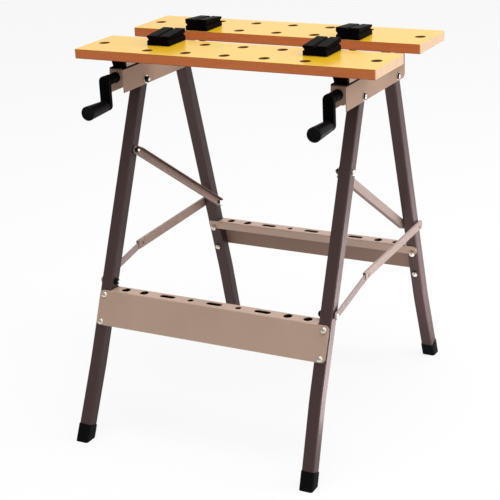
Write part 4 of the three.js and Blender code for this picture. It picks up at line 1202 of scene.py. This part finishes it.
def make_screw(side, sign):
    """Threaded rod: rings whose crest winds round the rod once a pitch."""
    place = facing((sign * RAIL_CENTRE, 0, SCREW_HEIGHT), ALONG_Y)
    root = SCREW_DIAMETER / 2 - THREAD_DEPTH
    shape = bmesh.new()
    rings = []
    for row in range(THREAD_ROWS + 1):
        along = THREAD_START + (THREAD_END - THREAD_START) * row / THREAD_ROWS
        ring = []
        for k in range(THREAD_STEPS):
            phase = (along / SCREW_PITCH - k / THREAD_STEPS) % 1.0
            crest = min(1.0, THREAD_STEEPNESS * min(phase, 1.0 - phase))
            radius = root + THREAD_DEPTH * crest
            angle = 2 * math.pi * k / THREAD_STEPS
            ring.append(shape.verts.new(
                place @ Vector((radius * math.cos(angle), radius * math.sin(angle), along))))
        rings.append(ring)
    skin(shape, rings)
    close_ends(shape, rings)
    shank(shape, place, SCREW_DIAMETER / 2, ARM_BACK + SCREW_FOOT, THREAD_START + THREAD_LAP)
    rim = COLLAR_RADIUS - COLLAR_EASE
    lathe(shape, [(0.0, COLLAR_FRONT), (rim, COLLAR_FRONT), (COLLAR_RADIUS, COLLAR_FRONT + COLLAR_EASE),
                  (COLLAR_RADIUS, COLLAR_BACK - COLLAR_EASE), (rim, COLLAR_BACK), (0.0, COLLAR_BACK)],
          place, steps=32)
    name = f"lead_screw_{side}"
    make_piece(name + "_threaded", to_mesh(shape, name), f"crank_{side}", [name], [screw_steel])


def make_slide_strips(side, sign):
    """Black slide strips along both lower edges of the jaw carrier, where it runs on the rail."""
    outline = rounded_box(SLIDE_FRONT, SLIDE_FOOT, SLIDE_BACK, SLIDE_TOP, SLIDE_CORNER)
    shape = bmesh.new()
    for flank in (-RAIL_HALF, RAIL_HALF):
        place = Matrix.Translation((sign * RAIL_CENTRE + flank, 0, 0)) @ UPRIGHT
        merge(shape, plate([outline], SLIDE_SHEET, SLIDE_ARRIS), place)
    mesh = to_mesh(shape, "slide_strip")
    make_piece(f"slide_strip_{side}", mesh, "front_jaw", [], [black_plastic])


make_board("front_board", "front_jaw", FRONT_EDGE)
make_board("rear_board", "top_frame", FRONT_EDGE + BOARD_WIDTH + JAW_OPENING)
for row in PAIRS:
    make_tray(row)
    for side, sign in SIDES:
        make_leg(row, side, sign)
        make_tray_bolts(row, side, sign)
for side, sign in SIDES:
    make_rail_bolts(side, sign)
    make_bar_pivots(side, sign)
    make_brace_pivots(side, sign)
    make_brace_nut(side, sign)
    make_crank(side, sign)
    make_grip(side, sign)
    make_screw(side, sign)
    make_slide_strips(side, sign)
    make_upper_bar(side, sign)
    make_brace_channel(side, sign)
    make_brace_strip(side, sign)


# Solids that keep their own shape: eased edges and a finish
def dress(name, material, ease_mm, segments=2):
    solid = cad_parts[name]
    for holder in solid.material_slots:
        holder.material = material
    joined = solid.modifiers.new("joined_corners", "WELD")
    joined.merge_threshold = JOIN_REACH
    ease = solid.modifiers.new("eased_edges", "BEVEL")
    ease.limit_method = "ANGLE"
    ease.angle_limit = EASED_FROM
    ease.width = ease_mm * MM
    ease.segments = segments
    ease.harden_normals = True


for side, _ in SIDES:
    for row in PAIRS:
        dress(f"peg_{row}_{side}", black_plastic, PLASTIC_EASE, segments=3)
        dress(f"{row}_foot_{side}", boot_rubber, RUBBER_EASE)
    dress(f"jaw_slider_{side}", black_plastic, PLASTIC_EASE, segments=3)
    dress(f"rail_{side}", rail_coat, SHEET_EASE)
    for sheet in ("jaw_carrier", "rear_bracket"):
        dress(f"{sheet}_{side}", sheet_coat, SHEET_EASE)
    dress(f"screw_nut_{side}", screw_steel, NUT_EASE)

# Studio, in metres: pale floor, soft light from the right and above, white surroundings
WHITE = (1.0, 1.0, 1.0, 1.0)
FLOOR_REACH = 40.0
FLOOR_SEEN = (0.97, 0.97, 0.97, 1.0)
FLOOR_UNSEEN = (0.62, 0.62, 0.62, 1.0)
FLOOR_GLOW = 0.84
ROOM_LIT_SIDE = (0.66, 0.52, 0.54)
ROOM_DIM_AT = -0.6
ROOM_LIT_AT = 0.35
ROOM_DIM = 0.3
ROOM_SHARE = 0.58
CARD_TINT = (1.0, 0.87, 0.87)
CARD_TURN = math.radians(-24.5)
BENCH_MIDDLE = (0.0, 0.0, 0.4)
VIEW_AZIMUTH = math.radians(28.2237)
VIEW_ELEVATION = math.radians(20.221)
VIEW_ROLL = math.radians(-2.6244)
VIEW_AIM = Vector((-0.02128, -0.00712, 0.31029))
VIEW_DISTANCE = 2.666
VIEW_LENS = 98.17
VIEW_SENSOR = 36.0
VIEW_NEAR = 0.05
VIEW_FAR = 200.0


def make_floor():
    """Floor that is nearly white to the eye and in reflections, and darker for the light it throws up."""
    mesh = bpy.data.meshes.new("studio_floor")
    reach = FLOOR_REACH
    corners = [(-reach, -reach, 0), (reach, -reach, 0), (reach, reach, 0), (-reach, reach, 0)]
    mesh.from_pydata(corners, [], [(0, 1, 2, 3)])
    floor = bpy.data.objects.new("studio_floor", mesh)
    bpy.context.scene.collection.objects.link(floor)
    material = bpy.data.materials.new("studio_floor_pale")
    material.use_nodes = True
    tree = material.node_tree
    tree.nodes.clear()
    path = add(tree, "ShaderNodeLightPath")
    seen = reckoned(tree, "MAXIMUM", path.outputs["Is Camera Ray"], path.outputs["Is Glossy Ray"])
    seen = reckoned(tree, "MAXIMUM", seen, path.outputs["Is Transmission Ray"])
    pale = mixed(tree, seen, FLOOR_UNSEEN, FLOOR_SEEN)
    matt = add(tree, "ShaderNodeBsdfDiffuse", {"Color": pale})
    white = add(tree, "ShaderNodeEmission", {"Color": WHITE, "Strength": 1.0})
    share = reckoned(tree, "MULTIPLY", seen, FLOOR_GLOW)
    mix = add(tree, "ShaderNodeMixShader", {0: share, 1: matt.outputs[0], 2: white.outputs[0]})
    out = tree.nodes.new("ShaderNodeOutputMaterial")
    tree.links.new(mix.outputs[0], out.inputs["Surface"])
    mesh.materials.append(material)


def make_world():
    """White room, brighter to one side, whose light on matt surfaces is held down."""
    world = bpy.data.worlds.new("studio_room")
    bpy.context.scene.world = world
    world.use_nodes = True
    tree = world.node_tree
    tree.nodes.clear()
    path = add(tree, "ShaderNodeLightPath")
    toward = add(tree, "ShaderNodeTexCoord").outputs["Generated"]
    lit_side = add(tree, "ShaderNodeVectorMath", {0: toward, 1: ROOM_LIT_SIDE},
                   operation="DOT_PRODUCT").outputs["Value"]
    room = spread(tree, lit_side, ROOM_DIM_AT, ROOM_LIT_AT, ROOM_DIM, 1.0)
    mirrored = reckoned(tree, "MAXIMUM", path.outputs["Is Glossy Ray"], path.outputs["Is Transmission Ray"])
    room_light = reckoned(tree, "MULTIPLY", room, ROOM_SHARE)
    strength = add(tree, "ShaderNodeMix", {0: mirrored, 2: room_light, 3: room},
                   data_type="FLOAT").outputs[0]
    strength = add(tree, "ShaderNodeMix", {0: path.outputs["Is Camera Ray"], 2: strength, 3: 1.0},
                   data_type="FLOAT").outputs[0]
    sky = add(tree, "ShaderNodeBackground", {"Color": WHITE, "Strength": strength})
    out = tree.nodes.new("ShaderNodeOutputWorld")
    tree.links.new(sky.outputs[0], out.inputs["Surface"])


def make_lamp(name, place, aim, size, power, turn=0.0, lights_matt=True):
    lamp = bpy.data.lights.new(name, "AREA")
    lamp.shape = "RECTANGLE"
    lamp.size, lamp.size_y = size
    lamp.energy = power
    holder = bpy.data.objects.new(name, lamp)
    bpy.context.scene.collection.objects.link(holder)
    holder.location = place
    holder.visible_camera = False
    holder.visible_diffuse = lights_matt
    holder.rotation_mode = "QUATERNION"
    about_z = Matrix.Rotation(turn, 3, "Z").to_quaternion()
    holder.rotation_quaternion = about_z @ (Vector(aim) - Vector(place)).to_track_quat("-Z", "Y")
    return lamp


def make_lamps():
    """Two soft boxes, and a card on the floor that shows only in reflections."""
    make_lamp("right_softbox", place=(3.4, 1.0, 1.9), aim=BENCH_MIDDLE, size=(2.6, 2.4), power=54.0)
    make_lamp("overhead_softbox", place=(0.4, -0.2, 3.4), aim=BENCH_MIDDLE, size=(2.4, 2.4), power=60.0)
    card = make_lamp("floor_card", place=(0.66, 0.64, 0.004), aim=(0.66, 0.64, 1.0), size=(0.36, 1.6),
                     power=10.5, turn=CARD_TURN, lights_matt=False)
    card.color = CARD_TINT


def make_camera():
    """The view: from the right of the front, looking down a little, with a small roll."""
    level = math.cos(VIEW_ELEVATION)
    back = Vector((math.sin(VIEW_AZIMUTH) * level, -math.cos(VIEW_AZIMUTH) * level,
                   math.sin(VIEW_ELEVATION)))
    right = Vector((math.cos(VIEW_AZIMUTH), math.sin(VIEW_AZIMUTH), 0.0))
    up = back.cross(right)
    rolled_right = math.cos(VIEW_ROLL) * right + math.sin(VIEW_ROLL) * up
    rolled_up = -math.sin(VIEW_ROLL) * right + math.cos(VIEW_ROLL) * up
    lens = bpy.data.cameras.new("bench_camera")
    lens.lens = VIEW_LENS
    lens.sensor_width = VIEW_SENSOR
    lens.clip_start = VIEW_NEAR
    lens.clip_end = VIEW_FAR
    holder = bpy.data.objects.new("bench_camera", lens)
    bpy.context.scene.collection.objects.link(holder)
    turn = Matrix((rolled_right, rolled_up, back)).transposed()
    holder.matrix_world = Matrix.Translation(VIEW_AIM + back * VIEW_DISTANCE) @ turn.to_4x4()
    bpy.context.scene.camera = holder


make_floor()
make_world()
make_lamps()
make_camera()
bpy.context.scene.view_settings.view_transform = "Standard"
